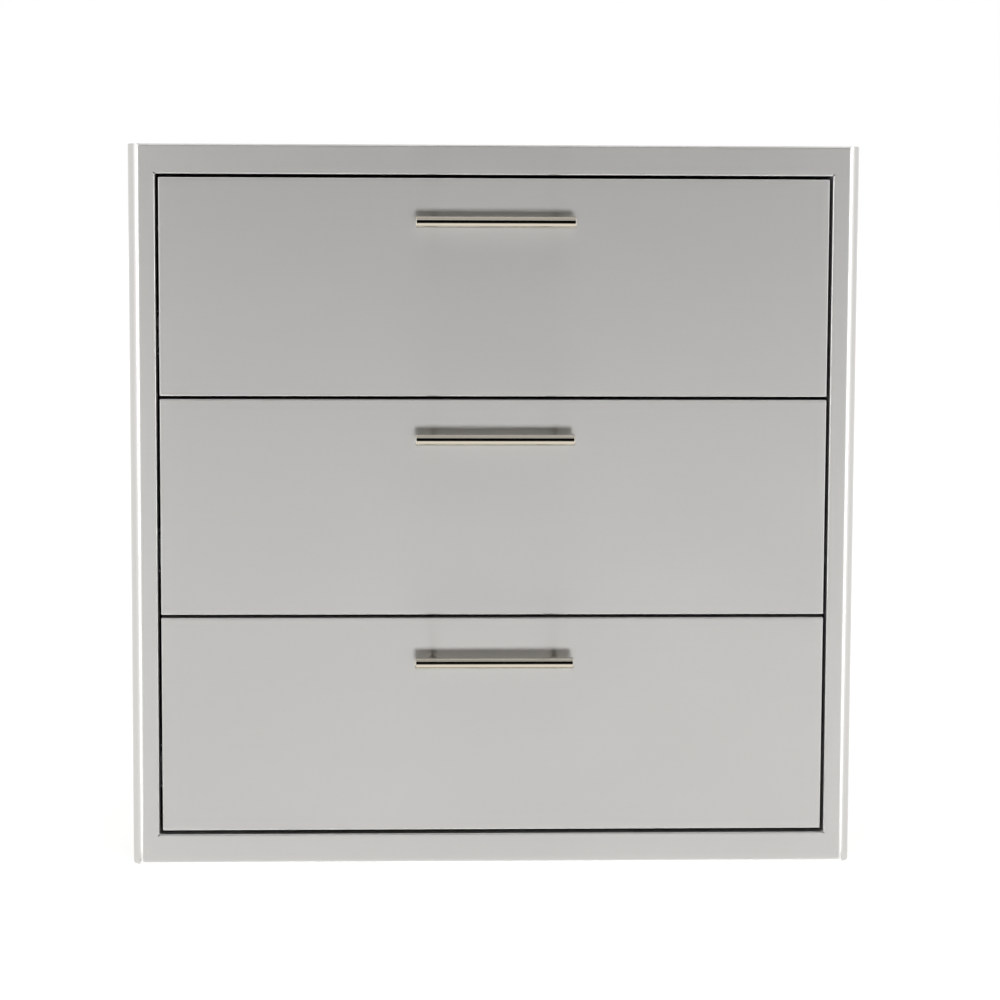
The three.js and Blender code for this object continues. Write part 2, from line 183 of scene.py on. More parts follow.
@dataclass(frozen=True)
class MetalFinish:
    """A bare or plated metal surface, with the marks that its making left on it.

    The grain is a stretched noise along the way the sheet was brushed or rolled, and the clouds are the slow
    drift in tone that handling and cleaning leave on it.
    """

    name: str
    dark: str
    light: str
    roughness: float
    roughness_drift: float
    grain_along: Axis
    grain_width: float
    grain_length: float
    grain_height: float
    cloud_size: float
    anisotropy: float = 0.0
    grain_detail: float = 3.0
    cloud_detail: float = 2.0
    cloud_stretch: float = 1.6
    noise_roughness: float = 0.6
    noise_low: float = 0.3
    noise_high: float = 0.7

    def grain(self, tree: NodeTree, width: float, length: float, detail: float) -> Node:
        """Adds a noise drawn out along the grain.

        Args:
            tree: The material's tree.
            width: The size of a line across the grain.
            length: Its size along the grain.
            detail: How many finer layers lie on it.

        Returns:
            The noise node.
        """
        scale = [1 / width] * 3
        scale[self.grain_along.value] = 1 / length
        place = add_node(tree, "ShaderNodeTexCoord")
        stretch = add_node(tree, "ShaderNodeMapping", {"Scale": scale}, {"Vector": place.outputs["Object"]})
        look = {"Scale": 1.0, "Detail": detail, "Roughness": self.noise_roughness}
        return add_node(tree, "ShaderNodeTexNoise", look, {"Vector": stretch})

    @cached_property
    def material(self) -> Material:
        """The finish as a Blender material."""
        material, shader = new_material(self.name, {"Metallic": 1.0, "Anisotropic": self.anisotropy})
        tree = material.node_tree
        if self.anisotropy:
            # The tangent lies square to the brush lines, which spread what they mirror across themselves.
            face = add_node(tree, "ShaderNodeNewGeometry")
            cross = {"operation": "CROSS_PRODUCT", 1: self.grain_along.unit}
            across = add_node(tree, "ShaderNodeVectorMath", cross, {0: face.outputs["Normal"]})
            tree.links.new(across.outputs["Vector"], shader.inputs["Tangent"])

        lines = self.grain(tree, self.grain_width, self.grain_length, self.grain_detail)
        clouds = self.grain(tree, self.cloud_size, self.cloud_size * self.cloud_stretch, self.cloud_detail)
        half = add_node(tree, "ShaderNodeMath", {"operation": "MULTIPLY", 1: 0.5}, {0: clouds})
        blend = add_node(tree, "ShaderNodeMath", {"operation": "MULTIPLY_ADD", 1: 0.5}, {0: lines, 2: half})
        tones = {"data_type": "RGBA", 6: linear(self.dark), 7: linear(self.light)}
        tone = add_node(tree, "ShaderNodeMix", tones, {0: blend})
        spread = {
            "From Min": self.noise_low,
            "From Max": self.noise_high,
            "To Min": self.roughness - self.roughness_drift,
            "To Max": self.roughness + self.roughness_drift,
        }
        rough = add_node(tree, "ShaderNodeMapRange", spread, {"Value": blend})
        relief = {"Strength": 1.0, "Distance": self.grain_height}
        bump = add_node(tree, "ShaderNodeBump", relief, {"Height": lines})
        tree.links.new(tone.outputs[2], shader.inputs["Base Color"])
        tree.links.new(rough.outputs["Result"], shader.inputs["Roughness"])
        tree.links.new(bump.outputs["Normal"], shader.inputs["Normal"])
        return material


@dataclass(frozen=True)
class RubberFinish:
    """Moulded black rubber: matt, with a faint sheen and a fine moulded skin."""

    name: str
    colour: str
    roughness: float
    skin_size: float
    skin_height: float
    skin_detail: float = 2.0
    sheen: float = 0.15

    @cached_property
    def material(self) -> Material:
        """The finish as a Blender material."""
        looks = {"Base Color": linear(self.colour), "Roughness": self.roughness, "Sheen Weight": self.sheen}
        material, shader = new_material(self.name, looks)
        tree = material.node_tree
        place = add_node(tree, "ShaderNodeTexCoord")
        size = {"Scale": 1 / self.skin_size, "Detail": self.skin_detail}
        skin = add_node(tree, "ShaderNodeTexNoise", size, {"Vector": place.outputs["Object"]})
        bump = add_node(tree, "ShaderNodeBump", {"Distance": self.skin_height}, {"Height": skin})
        tree.links.new(bump.outputs["Normal"], shader.inputs["Normal"])
        return material


# Grade 304 sheet with a brushed face: it mirrors the room softly, with hair-fine lines along the width. Real
# brush lines are about 0.05 mm wide; they are drawn 0.7 mm wide so that they show in the render.
FRONT_STEEL = MetalFinish(
    name="brushed_stainless_front", dark="#CAC9C7", light="#D1D0CE", roughness=0.32, roughness_drift=0.015,
    grain_along=Axis.X, grain_width=0.7 * MM, grain_length=90 * MM, grain_height=0.003 * MM,
    cloud_size=140 * MM, anisotropy=0.86,
)
# Cold-rolled sheet as the mill leaves it: greyer and duller than the front, with faint rolling lines.
CABINET_STEEL = MetalFinish(
    name="mill_stainless_sheet", dark="#B3B5B6", light="#C4C5C5", roughness=0.42, roughness_drift=0.05,
    grain_along=Axis.Y, grain_width=1.2 * MM, grain_length=160 * MM, grain_height=0.008 * MM,
    cloud_size=90 * MM,
)
# Satin sheet of the trays and liners: a soft even sheen, its grain along the drawer.
TRAY_STEEL = MetalFinish(
    name="satin_stainless_tray", dark="#BFC0C0", light="#CDCDCC", roughness=0.38, roughness_drift=0.04,
    grain_along=Axis.X, grain_width=1.0 * MM, grain_length=120 * MM, grain_height=0.006 * MM,
    cloud_size=110 * MM,
)
# Polished bar stock: nearly a mirror, warm, with the faint lines that polishing leaves along the bar.
HANDLE_POLISH = MetalFinish(
    name="polished_stainless_bar", dark="#CFC9BD", light="#D8D3C8", roughness=0.1, roughness_drift=0.02,
    grain_along=Axis.X, grain_width=0.5 * MM, grain_length=40 * MM, grain_height=0.001 * MM,
    cloud_size=25 * MM,
)
# Bright zinc over rolled steel: bluish, with the soft mottle of the plating.
SLIDE_ZINC = MetalFinish(
    name="zinc_plated_slide", dark="#B4BAC0", light="#CBD0D4", roughness=0.3, roughness_drift=0.06,
    grain_along=Axis.Y, grain_width=1.5 * MM, grain_length=30 * MM, grain_height=0.004 * MM,
    cloud_size=14 * MM,
)
# Stamped and oiled spring steel of the ball cages: darker and smoother than the plated channels.
CAGE_STEEL = MetalFinish(
    name="oiled_cage_steel", dark="#85888B", light="#A2A5A8", roughness=0.27, roughness_drift=0.05,
    grain_along=Axis.Y, grain_width=1.2 * MM, grain_length=18 * MM, grain_height=0.003 * MM,
    cloud_size=10 * MM,
)
# Hardened bearing balls: a clean dark mirror.
BALL_STEEL = MetalFinish(
    name="polished_bearing_steel", dark="#B9BCBE", light="#C6C8CA", roughness=0.08, roughness_drift=0.01,
    grain_along=Axis.Y, grain_width=2.0 * MM, grain_length=2.0 * MM, grain_height=0.0005 * MM,
    cloud_size=6 * MM,
)
# Cold-headed stainless screws and rivets: bright, with the tumbled look of loose hardware.
SCREW_STEEL = MetalFinish(
    name="cold_headed_stainless", dark="#A8AAAC", light="#C2C4C5", roughness=0.26, roughness_drift=0.06,
    grain_along=Axis.Z, grain_width=1.6 * MM, grain_length=1.6 * MM, grain_height=0.004 * MM,
    cloud_size=5 * MM,
)
# Moulded rubber of the drawer buffers: it swallows light beside the plated steel.
BUFFER_RUBBER = RubberFinish(
    name="moulded_black_rubber", colour="#232323", roughness=0.62, skin_size=0.6 * MM, skin_height=0.02 * MM,
)

Finish = MetalFinish | RubberFinish


@dataclass(frozen=True)
class Rect:
    """A rectangle in the plane that a folded sheet's rings lie in."""

    left: float
    right: float
    low: float
    high: float

    def grown(self, across: float, up: float | None = None) -> "Rect":
        """This rectangle with its sides moved out by across, and its low and high ends by up."""
        up = across if up is None else up
        return Rect(self.left - across, self.right + across, self.low - up, self.high + up)

    def ring(self, corner: float, steps: int = 4) -> Path2:
        """The rectangle's outline with rounded corners, anticlockwise.

        Args:
            corner: The radius of the corners.
            steps: The count of segments round each corner.

        Returns:
            The outline's points.
        """
        left, right = self.left + corner, self.right - corner
        low, high = self.low + corner, self.high - corner
        points = []
        for x, y, start in ((right, low, -90), (right, high, 0), (left, high, 90), (left, low, 180)):
            points += arc((x, y), corner, start, start + 90, steps)
        return points


def arc(centre: Point2, radius: float, start: float, end: float, steps: int) -> Path2:
    """The points of an arc, from one angle in degrees to another in equal steps."""
    turns = [radians(start + (end - start) * i / steps) for i in range(steps + 1)]
    return [(centre[0] + radius * cos(t), centre[1] + radius * sin(t)) for t in turns]


def sheet_section(path: Path2, sheet: float, inside: float, steps: int = 5) -> Path2:
    """The section of a bent sheet, as a closed outline.

    Args:
        path: The sheet's right-hand face as an open line of points, with sharp corners.
        sheet: The sheet's thickness, laid to the left of the path.
        inside: The inside radius of each bend.
        steps: The count of segments round each bend.

    Returns:
        The outline, out along the path and back along the sheet's other face.
    """
    points = [Vector(p) for p in path]
    ways = [(b - a).normalized() for a, b in zip(points, points[1:])]
    lefts = [Vector((-way.y, way.x)) for way in ways]
    support = 0.25 * MM
    near, far = [points[0]], [points[0] + lefts[0] * sheet]
    for i in range(1, len(points) - 1):
        before, after = ways[i - 1], ways[i]
        turn = before.x * after.y - before.y * after.x
        side = 1 if turn > 0 else -1
        half = atan2(abs(turn), before.dot(after)) / 2
        left_radius = inside if side > 0 else inside + sheet
        centre_offset = left_radius if side > 0 else -left_radius
        miter = (lefts[i - 1] + lefts[i]) / (1 + lefts[i - 1].dot(lefts[i]))
        centre = points[i] + miter * (sheet + centre_offset)
        reach = tan(half)
        for face, radius, corner in (
            (near, left_radius + side * sheet, points[i]), (far, left_radius, points[i] + miter * sheet)
        ):
            face.append(corner - before * (radius * reach + support))
            first = -lefts[i - 1] * side
            for k in range(steps + 1):
                angle = side * 2 * half * k / steps
                spoke = Matrix.Rotation(angle, 2) @ first
                face.append(centre + spoke * radius)
            face.append(corner + after * (radius * reach + support))
    near.append(points[-1])
    far.append(points[-1] + lefts[-1] * sheet)
    return [tuple(p) for p in near + far[::-1]]


def shaded(mesh: Mesh, sharp: float = 34.0) -> Mesh:
    """Shades a mesh smooth, but sharp across edges that turn by more than an angle.

    Args:
        mesh: The mesh.
        sharp: The angle in degrees.

    Returns:
        The same mesh.
    """
    mesh.shade_smooth()
    mesh.set_sharp_from_angle(angle=radians(sharp))
    return mesh


def loft(name: str, rings: Sequence[Sequence[Vector]], closed: bool = False) -> Mesh:
    """A mesh through rings that have the same count of points.

    Args:
        name: The mesh's name.
        rings: The rings in order.
        closed: Whether the last ring joins the first; otherwise a face closes each end.

    Returns:
        The mesh, with its normals outwards.
    """
    build = bmesh.new()
    rows = [[build.verts.new(p) for p in ring] for ring in rings]
    pairs = list(zip(rows, rows[1:])) + ([(rows[-1], rows[0])] if closed else [])
    for a, b in pairs:
        for i in range(len(a)):
            j = (i + 1) % len(a)
            build.faces.new((a[i], a[j], b[j], b[i]))
    if not closed:
        build.faces.new(rows[0])
        build.faces.new(rows[-1])
    bmesh.ops.remove_doubles(build, verts=build.verts, dist=WELD)
    bmesh.ops.dissolve_degenerate(build, edges=build.edges, dist=WELD)
    bmesh.ops.recalc_face_normals(build, faces=build.faces)
    mesh = bpy.data.meshes.new(name)
    build.to_mesh(mesh)
    build.free()
    return shaded(mesh)


def extruded(name: str, section: Path2, axis: Axis, start: float, end: float) -> Mesh:
    """A section, given in the two other axes, run along an axis from start to end."""
    return loft(name, [[lifted(p, axis, at) for p in section] for at in (start, end)])


def lifted(point: Point2, axis: Axis, at: float) -> Vector:
    """The point of a plane square to an axis, as a place in the frame."""
    return Vector((*point[: axis.value], at, *point[axis.value :]))


def quarter(steps: int) -> list[float]:
    """The angles of a quarter turn in equal steps."""
    return [radians(90 * i / steps) for i in range(steps + 1)]


def block(name: str, rect: Rect, axis: Axis, corner: float, levels: Iterable[Point2]) -> Mesh:
    """A block with rounded corners, through pairs of its outline's inset and its place along an axis."""
    rings = [[lifted(p, axis, at) for p in rect.grown(-inset).ring(corner)] for inset, at in levels]
    return loft(name, rings)


def turned(name: str, profile: Path2, axis: Axis, centre: Vector, steps: int) -> Mesh:
    """A body turned about an axis.

    Args:
        name: The mesh's name.
        profile: Pairs of radius and place along the axis, from the centre.
        axis: The axis.
        centre: The point that the body is turned about.
        steps: The count of facets round it.

    Returns:
        The mesh.
    """
    rings = []
    for radius, along in profile:
        circle = arc((0.0, 0.0), max(radius, AXIS_RADIUS), 0, 360, steps)[:-1]
        rings.append([lifted(p, axis, along) + centre for p in circle])
    return loft(name, rings)


def cut(mesh: Mesh, cutter: Mesh) -> Mesh:
    """Cuts one closed mesh out of another.

    Args:
        mesh: The mesh that is cut.
        cutter: The mesh that is taken away.

    Returns:
        What is left, shaded.
    """
    host, tool = new_object("host", mesh), new_object("tool", cutter)
    change = host.modifiers.new("cut", "BOOLEAN")
    change.object = tool
    change.solver = "EXACT"
    made = plain_mesh(host, mesh.name)
    for obj in (host, tool):
        bpy.data.objects.remove(obj)
    return shaded(made)


def plain_mesh(obj: Object, name: str) -> Mesh:
    """Makes the evaluated mesh of an object a mesh of its own.

    Args:
        obj: The object.
        name: The new mesh's name.

    Returns:
        The mesh as its modifiers leave it.
    """
    graph = bpy.context.evaluated_depsgraph_get()
    graph.update()
    made = bpy.data.meshes.new_from_object(obj.evaluated_get(graph), depsgraph=graph)
    made.name = name
    return made


def joined(name: str, meshes: Iterable[Mesh]) -> Mesh:
    """Joins several meshes.

    Args:
        name: The new mesh's name.
        meshes: The meshes.

    Returns:
        One mesh of all of them.
    """
    build = bmesh.new()
    for mesh in meshes:
        build.from_mesh(mesh)
    made = bpy.data.meshes.new(name)
    build.to_mesh(made)
    build.free()
    return shaded(made)


def fit(
    name: str, mesh: Mesh, finish: Finish, like: str, replaced: Sequence[str] = (), slot: str | None = None
) -> None:
    """Puts a finished piece on the unit and reports it.

    Args:
        name: The piece's name.
        mesh: Its mesh, already in place.
        finish: Its finish.
        like: A node of the frame whose body it rides on.
        replaced: The nodes that it stands for.
        slot: Its material slot in the record, else that of what it stands for; worked out but not used.
    """
    obj = new_object(name, mesh)
    mesh.materials.clear()
    mesh.materials.append(finish.material)
    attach(obj, BODY_OF[like])
    slot = slot or (SLOT_OF[replaced[0]] if replaced else None)
    if replaced:
        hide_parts(*replaced)
    log.info("%s: %d faces, rides on %s", name, len(mesh.polygons), BODY_OF[like])


class GrowthTree:
    """A Geometry Nodes tree with named inputs, and the way it is run on a carrier mesh."""

    def __init__(self, name: str, inputs: dict[str, str]) -> None:
        """Makes the tree with its sockets.

        Args:
            name: The tree's name.
            inputs: Kinds of socket, such as "Float", by the name of the input.
        """
        self.tree = bpy.data.node_groups.new(name, "GeometryNodeTree")
        face = self.tree.interface
        self.keys = {}
        for label, kind in {"Geometry": "Geometry", **inputs, "Material": "Material"}.items():
            socket = face.new_socket(label, in_out="INPUT", socket_type=f"NodeSocket{kind}")
            self.keys[label] = socket.identifier
        face.new_socket("Geometry", in_out="OUTPUT", socket_type="NodeSocketGeometry")
        self.given = add_node(self.tree, "NodeGroupInput")

    def facing(self) -> Node:
        """Adds the turn that lays Z along the way that each point faces.

        Returns:
            The node that gives the turn.
        """
        named = {"data_type": "FLOAT_VECTOR", "Name": "facing"}
        way = add_node(self.tree, "GeometryNodeInputNamedAttribute", named)
        return add_node(self.tree, "FunctionNodeAlignRotationToVector", {"axis": "Z"}, {"Vector": way})

    def punched(self, sheet: Node | NodeSocket, tools: Node) -> Node:
        """Adds the cut of many tools out of a sheet.

        Args:
            sheet: Where the sheet comes from.
            tools: The tools as instances.

        Returns:
            The node that gives what is left.
        """
        real = add_node(self.tree, "GeometryNodeRealizeInstances", links={"Geometry": tools})
        how = {"operation": "DIFFERENCE", "solver": "EXACT"}
        return add_node(self.tree, "GeometryNodeMeshBoolean", how, {"Mesh 1": sheet, "Mesh 2": real})

    def end(self, last: Node) -> None:
        """Closes the tree: instances made real, shaded smooth, and the material set.

        Args:
            last: The node that gives the geometry.
        """
        real = add_node(self.tree, "GeometryNodeRealizeInstances", links={"Geometry": last})
        smooth = add_node(self.tree, "GeometryNodeSetShadeSmooth", {"Shade Smooth": True}, {"Geometry": real})
        links = {"Geometry": smooth, "Material": self.given.outputs["Material"]}
        dressed = add_node(self.tree, "GeometryNodeSetMaterial", links=links)
        add_node(self.tree, "NodeGroupOutput", links={"Geometry": dressed})

    def run(self, name: str, carrier: Mesh, values: dict[str, Any], finish: Finish) -> Mesh:
        """Runs the tree on a carrier and returns a plain mesh.

        Args:
            name: The new mesh's name.
            carrier: The mesh that the tree starts from.
            values: The tree's inputs by name.
            finish: The finish that the tree sets.

        Returns:
            The plain mesh.
        """
        host = new_object(name + "_host", carrier)
        change = host.modifiers.new("growth", "NODES")
        change.node_group = self.tree
        for label, value in {**values, "Material": finish.material}.items():
            change[self.keys[label]] = value
        made = plain_mesh(host, name)
        host.modifiers.remove(change)
        bpy.data.objects.remove(host)
        return shaded(made)


class FastenerTree(GrowthTree):
    """Sets a head on each point of the carrier, turned the way the point faces and spun at random."""

    def __init__(self) -> None:
        """Builds the tree."""
        super().__init__("fasteners", {"Head": "Object", "Scale": "Float", "Seed": "Int"})
        tree, given = self.tree, self.given.outputs
        head = add_node(tree, "GeometryNodeObjectInfo", links={"Object": given["Head"]})
        turn = {"data_type": "FLOAT", 2: 0.0, 3: tau}
        spin = add_node(tree, "FunctionNodeRandomValue", turn, {"Seed": given["Seed"]})
        own = add_node(tree, "ShaderNodeCombineXYZ", links={"Z": spin.outputs[1]})
        spun = add_node(tree, "FunctionNodeEulerToRotation", links={"Euler": own})
        turns = {"Rotation": self.facing(), "Rotate By": spun}
        both = add_node(tree, "FunctionNodeRotateRotation", {"rotation_space": "LOCAL"}, turns)
        links = {
            "Points": given["Geometry"],
            "Instance": head.outputs["Geometry"],
            "Rotation": both,
            "Scale": given["Scale"],
        }
        self.end(add_node(tree, "GeometryNodeInstanceOnPoints", links=links))


class PunchTree(GrowthTree):
    """Punches a round hole through the carrier sheet at each point of another mesh."""

    hole_sides: int = 24

    def __init__(self) -> None:
        """Builds the tree."""
        super().__init__("punched_holes", {"Places": "Object", "Radius": "Float", "Reach": "Float"})
        tree, given = self.tree, self.given.outputs
        places = add_node(tree, "GeometryNodeObjectInfo", links={"Object": given["Places"]})
        size = {"Radius": given["Radius"], "Depth": given["Reach"]}
        punch = add_node(tree, "GeometryNodeMeshCylinder", {"Vertices": self.hole_sides}, size)
        links = {"Points": places.outputs["Geometry"], "Instance": punch, "Rotation": self.facing()}
        tools = add_node(tree, "GeometryNodeInstanceOnPoints", links=links)
        self.end(self.punched(given["Geometry"], tools))


class BallRowTree(GrowthTree):
    """Lays a row of bearing balls along Y from each point of the carrier."""

    def __init__(self) -> None:
        """Builds the tree."""
        super().__init__("ball_rows", {"Balls": "Int", "Pitch": "Float", "Radius": "Float"})
        tree, given = self.tree, self.given.outputs
        step = add_node(tree, "ShaderNodeCombineXYZ", links={"Y": given["Pitch"]})
        run = {"Count": given["Balls"], "Offset": step}
        row = add_node(tree, "GeometryNodeMeshLine", {"mode": "OFFSET"}, run)
        ball = add_node(tree, "GeometryNodeMeshIcoSphere", {"Subdivisions": 2}, {"Radius": given["Radius"]})
        beads = add_node(tree, "GeometryNodeInstanceOnPoints", links={"Points": row, "Instance": ball})
        links = {"Points": given["Geometry"], "Instance": beads}
        self.end(add_node(tree, "GeometryNodeInstanceOnPoints", links=links))


class ChannelTree(GrowthTree):
    """Runs a flat section along Y and punches a row of holes through its web."""

    def __init__(self) -> None:
        """Builds the tree."""
        inputs = {"Length": "Float", "Punch": "Object", "First": "Vector", "Pitch": "Float", "Count": "Int"}
        super().__init__("punched_channel", inputs)
        tree, given = self.tree, self.given.outputs
        away = add_node(tree, "ShaderNodeCombineXYZ", links={"Y": given["Length"]})
        how = {"mode": "FACES", "Offset Scale": 1.0, "Individual": False}
        body = add_node(tree, "GeometryNodeExtrudeMesh", how, {"Mesh": given["Geometry"], "Offset": away})
        back = add_node(tree, "GeometryNodeFlipFaces", links={"Mesh": given["Geometry"]})
        whole = add_node(tree, "GeometryNodeJoinGeometry", links={"Geometry": body})
        tree.links.new(back.outputs["Mesh"], whole.inputs["Geometry"])
        welded = add_node(tree, "GeometryNodeMergeByDistance", {"Distance": 2 * WELD}, {"Geometry": whole})
        step = add_node(tree, "ShaderNodeCombineXYZ", links={"Y": given["Pitch"]})
        run = {"Count": given["Count"], "Start Location": given["First"], "Offset": step}
        row = add_node(tree, "GeometryNodeMeshLine", {"mode": "OFFSET"}, run)
        punch = add_node(tree, "GeometryNodeObjectInfo", links={"Object": given["Punch"]})
        links = {"Points": row, "Instance": punch.outputs["Geometry"]}
        self.end(self.punched(welded, add_node(tree, "GeometryNodeInstanceOnPoints", links=links)))


def fastening_points(name: str, places: Seats) -> Mesh:
    """A mesh of points that says which way each of them faces.

    Args:
        name: The mesh's name.
        places: Pairs of a point and the way out of the surface there.

    Returns:
        The mesh, with the ways as its "facing" attribute.
    """
    mesh = bpy.data.meshes.new(name)
    mesh.from_pydata([place for place, _ in places], [], [])
    facing = mesh.attributes.new("facing", "FLOAT_VECTOR", "POINT")
    for row, (_, way) in zip(facing.data, places):
        row.vector = way
    return mesh


def pattern(name: str, mesh: Mesh) -> Object:
    """An object that the trees copy from; strike_patterns takes it away again."""
    return new_object("pattern_" + name, mesh)


def strike_patterns() -> None:
    """Removes every object that the trees copied from."""
    for obj in [o for o in bpy.data.objects if o.name.startswith("pattern_")]:
        bpy.data.objects.remove(obj)


def moved(mesh: Mesh, name: str, by: Vector) -> Mesh:
    """Copies a mesh and moves the copy.

    Args:
        mesh: The mesh.
        name: The copy's name.
        by: How far the copy lies from it.

    Returns:
        The copy.
    """
    copy = mesh.copy()
    copy.name = name
    copy.transform(Matrix.Translation(by))
    return copy


@dataclass(frozen=True)
class Hardware:
    """The small fasteners, each modelled once on the origin with its head towards +Z."""

    facets: int = 24
    head_radius: float = 4.0 * MM
    head_edge: float = 1.1 * MM
    head_height: float = 2.4 * MM
    shank_radius: float = 2.0 * MM
    shank_length: float = 33.0 * MM
    recess_width: float = 0.9 * MM
    recess_span: float = 4.4 * MM
    recess_depth: float = 1.5 * MM
    recess_corner: float = 0.12 * MM
    recess_taper: float = 0.45
    rivet_radius: float = 3.4 * MM
    rivet_height: float = 1.1 * MM
    rivet_hole: float = 1.0 * MM
    rivet_facets: int = 18
    flush_radius: float = 3.0 * MM
    flush_recess: float = 0.75
    short_shank: float = 1.0 * MM

    def recessed(self, screw: Mesh, top: float, scale: float = 1.0) -> Mesh:
        """Sinks a cross recess into a screw head.

        Args:
            screw: The screw.
            top: The height of the head's top.
            scale: The recess's size against the machine screw's.

        Returns:
            The screw with its recess.
        """
        span, width, depth = (scale * s for s in (self.recess_span, self.recess_width, self.recess_depth))
        for across in (Vector((span, width)), Vector((width, span))):
            rings = []
            for height, share in ((top - depth, self.recess_taper), (top + 1 * MM, 1.0)):
                half = Vector((max(across.x * share, width), max(across.y * share, width))) / 2
                corner = Rect(-half.x, half.x, -half.y, half.y).ring(self.recess_corner, 2)
                rings.append([Vector((*p, height)) for p in corner])
            screw = cut(screw, loft("recess_arm", rings))
        return screw

    @cached_property
    def flush_screw(self) -> Object:
        """A countersunk screw, flush with its sheet, as a pattern."""
        radius = self.flush_radius
        profile = [(0.0, -2.4 * MM), (radius * 0.5, -2.4 * MM), (radius * 0.5, -1.6 * MM)]
        profile += [(radius - 0.1 * MM, -0.15 * MM), (radius - 0.15 * MM, 0.0), (0.0, 0.0)]
        screw = turned("flush_screw", profile, Axis.Z, Vector(), self.facets)
        return pattern("flush_screw", self.recessed(screw, 0.0, self.flush_recess))

    def pan_head(self, shank: float) -> Mesh:
        """A pan-head screw with a cross recess.

        Args:
            shank: The length of the shank below the head.

        Returns:
            The mesh.
        """
        edge = self.head_edge
        crown = arc((self.head_radius - edge * 0.9, edge * 0.75), edge * 0.9, -20, 65, 5)
        profile = [(0.0, -shank), (self.shank_radius * 0.8, -shank), (self.shank_radius, -shank + 0.4 * MM)]
        profile += [(self.shank_radius, 0.0), (self.head_radius * 0.96, 0.0), *crown]
        profile += [(self.head_radius * 0.45, self.head_height * 0.97), (0.0, self.head_height)]
        screw = turned("pan_head", profile, Axis.Z, Vector(), self.facets)
        return self.recessed(screw, self.head_height)

    @cached_property
    def short_screw(self) -> Object:
        """A short pan-head screw, as a pattern."""
        return pattern("short_screw", self.pan_head(self.short_shank))

    @cached_property
    def handle_screw(self) -> Object:
        """A handle's machine screw, as a pattern."""
        return pattern("handle_screw", self.pan_head(self.shank_length))

    @cached_property
    def rivet(self) -> Object:
        """The domed side of a blind rivet, with the hole that its pin left, as a pattern."""
        turns = [radians(angle) for angle in (0, 18, 36, 54, 68)]
        dome = [(self.rivet_radius * cos(t), self.rivet_height * sin(t)) for t in turns]
        hole = self.rivet_hole
        profile = [(0.0, -0.6 * MM), (self.rivet_radius * 0.9, -0.6 * MM), *dome]
        profile += [(hole, self.rivet_height * 0.98), (hole * 0.9, 0.1 * MM), (0.0, 0.1 * MM)]
        return pattern("rivet", turned("rivet", profile, Axis.Z, Vector(), self.rivet_facets))


@dataclass(frozen=True)
class Workshop:
    """The trees and the fasteners that all sub-assemblies are made with."""

    hardware: Hardware
    fasteners: FastenerTree
    punches: PunchTree
    balls: BallRowTree
    channels: ChannelTree
    punch_reach: float = 8 * MM

    def fasten(
        self,
        name: str,
        head: Object,
        places: Seats,
        like: str,
        replaced: Sequence[str] = (),
        scale: float = 1.0,
    ) -> None:
        """Fits a set of fasteners as one piece.

        Args:
            name: The piece's name.
            head: The pattern of one fastener.
            places: Pairs of a seat and the way that its fastener faces.
            like: A node of the body that they ride on.
            replaced: The nodes that they stand for.
            scale: The size of the fasteners against the pattern.
        """
        carrier = fastening_points(name + "_seats", places)
        values = {"Head": head, "Scale": scale, "Seed": sum(map(ord, name)) % 997}
        mesh = self.fasteners.run(name, carrier, values, SCREW_STEEL)
        fit(name, mesh, SCREW_STEEL, like, replaced, "screw_steel")

    def punch(self, mesh: Mesh, places: Seats, radius: float, finish: Finish) -> Mesh:
        """Punches round holes through a sheet.

        Args:
            mesh: The sheet.
            places: Pairs of a hole's centre and its axis.
            radius: The holes' radius.
            finish: The sheet's finish.

        Returns:
            The punched sheet.
        """
        marks = pattern(mesh.name + "_marks", fastening_points("marks", places))
        values = {"Places": marks, "Radius": radius, "Reach": self.punch_reach}
        return self.punches.run(mesh.name, mesh, values, finish)


@dataclass(frozen=True)
class Pan:
    """A sheet folded up on four sides, with rounded bends and corners.

    Its rings lie square to its depth axis. Depth runs from the outside of its flat web to its rim.
    """

    name: str
    rect: Rect
    depth_axis: Axis
    web: float
    depth: float
    sheet: float
    bend: float
    corner: float
    hem: float = 0.0
    support: float = 0.3 * MM
    edge_break: float = 0.15 * MM
    least_corner: float = 0.25 * MM
    steps: int = 5
    hem_steps: int = 8

    def ring(self, inset: float, depth: float) -> list[Vector]:
        """One ring of the pan.

        Args:
            inset: How far the ring lies inside the pan's outline.
            depth: How far it lies from the web's outside, towards the rim.

        Returns:
            The ring's points.
        """
        at = self.web + depth * (1 if self.depth > 0 else -1)
        corner = max(self.corner - inset, self.least_corner)
        return [lifted(p, self.depth_axis, at) for p in self.rect.grown(-inset).ring(corner)]

    def fold(self, radius: float) -> list[Point2]:
        """Insets and depths round one bend, from the web to the wall."""
        bend = self.bend
        return [(bend - radius * sin(t), bend - radius * cos(t)) for t in quarter(self.steps)]

    @property
    def mesh(self) -> Mesh:
        """The pan's mesh."""
        rim, sheet, edge = abs(self.depth), self.sheet, self.edge_break
        levels = [(self.bend + self.support, 0.0), *self.fold(self.bend)]
        if self.hem:
            turns = [pi * i / self.hem_steps for i in range(self.hem_steps + 1)]
            levels += [(sheet - sheet * cos(t), rim - sheet + sheet * sin(t)) for t in turns]
            levels += [(2 * sheet, rim - self.hem), (sheet, rim - self.hem)]
        else:
            levels += [(0.0, rim - edge), (edge, rim), (sheet - edge, rim), (sheet, rim - edge)]
        levels += [*self.fold(self.bend - sheet)[::-1], (self.bend + self.support, sheet)]
        return loft(self.name, [self.ring(inset, depth) for inset, depth in levels])


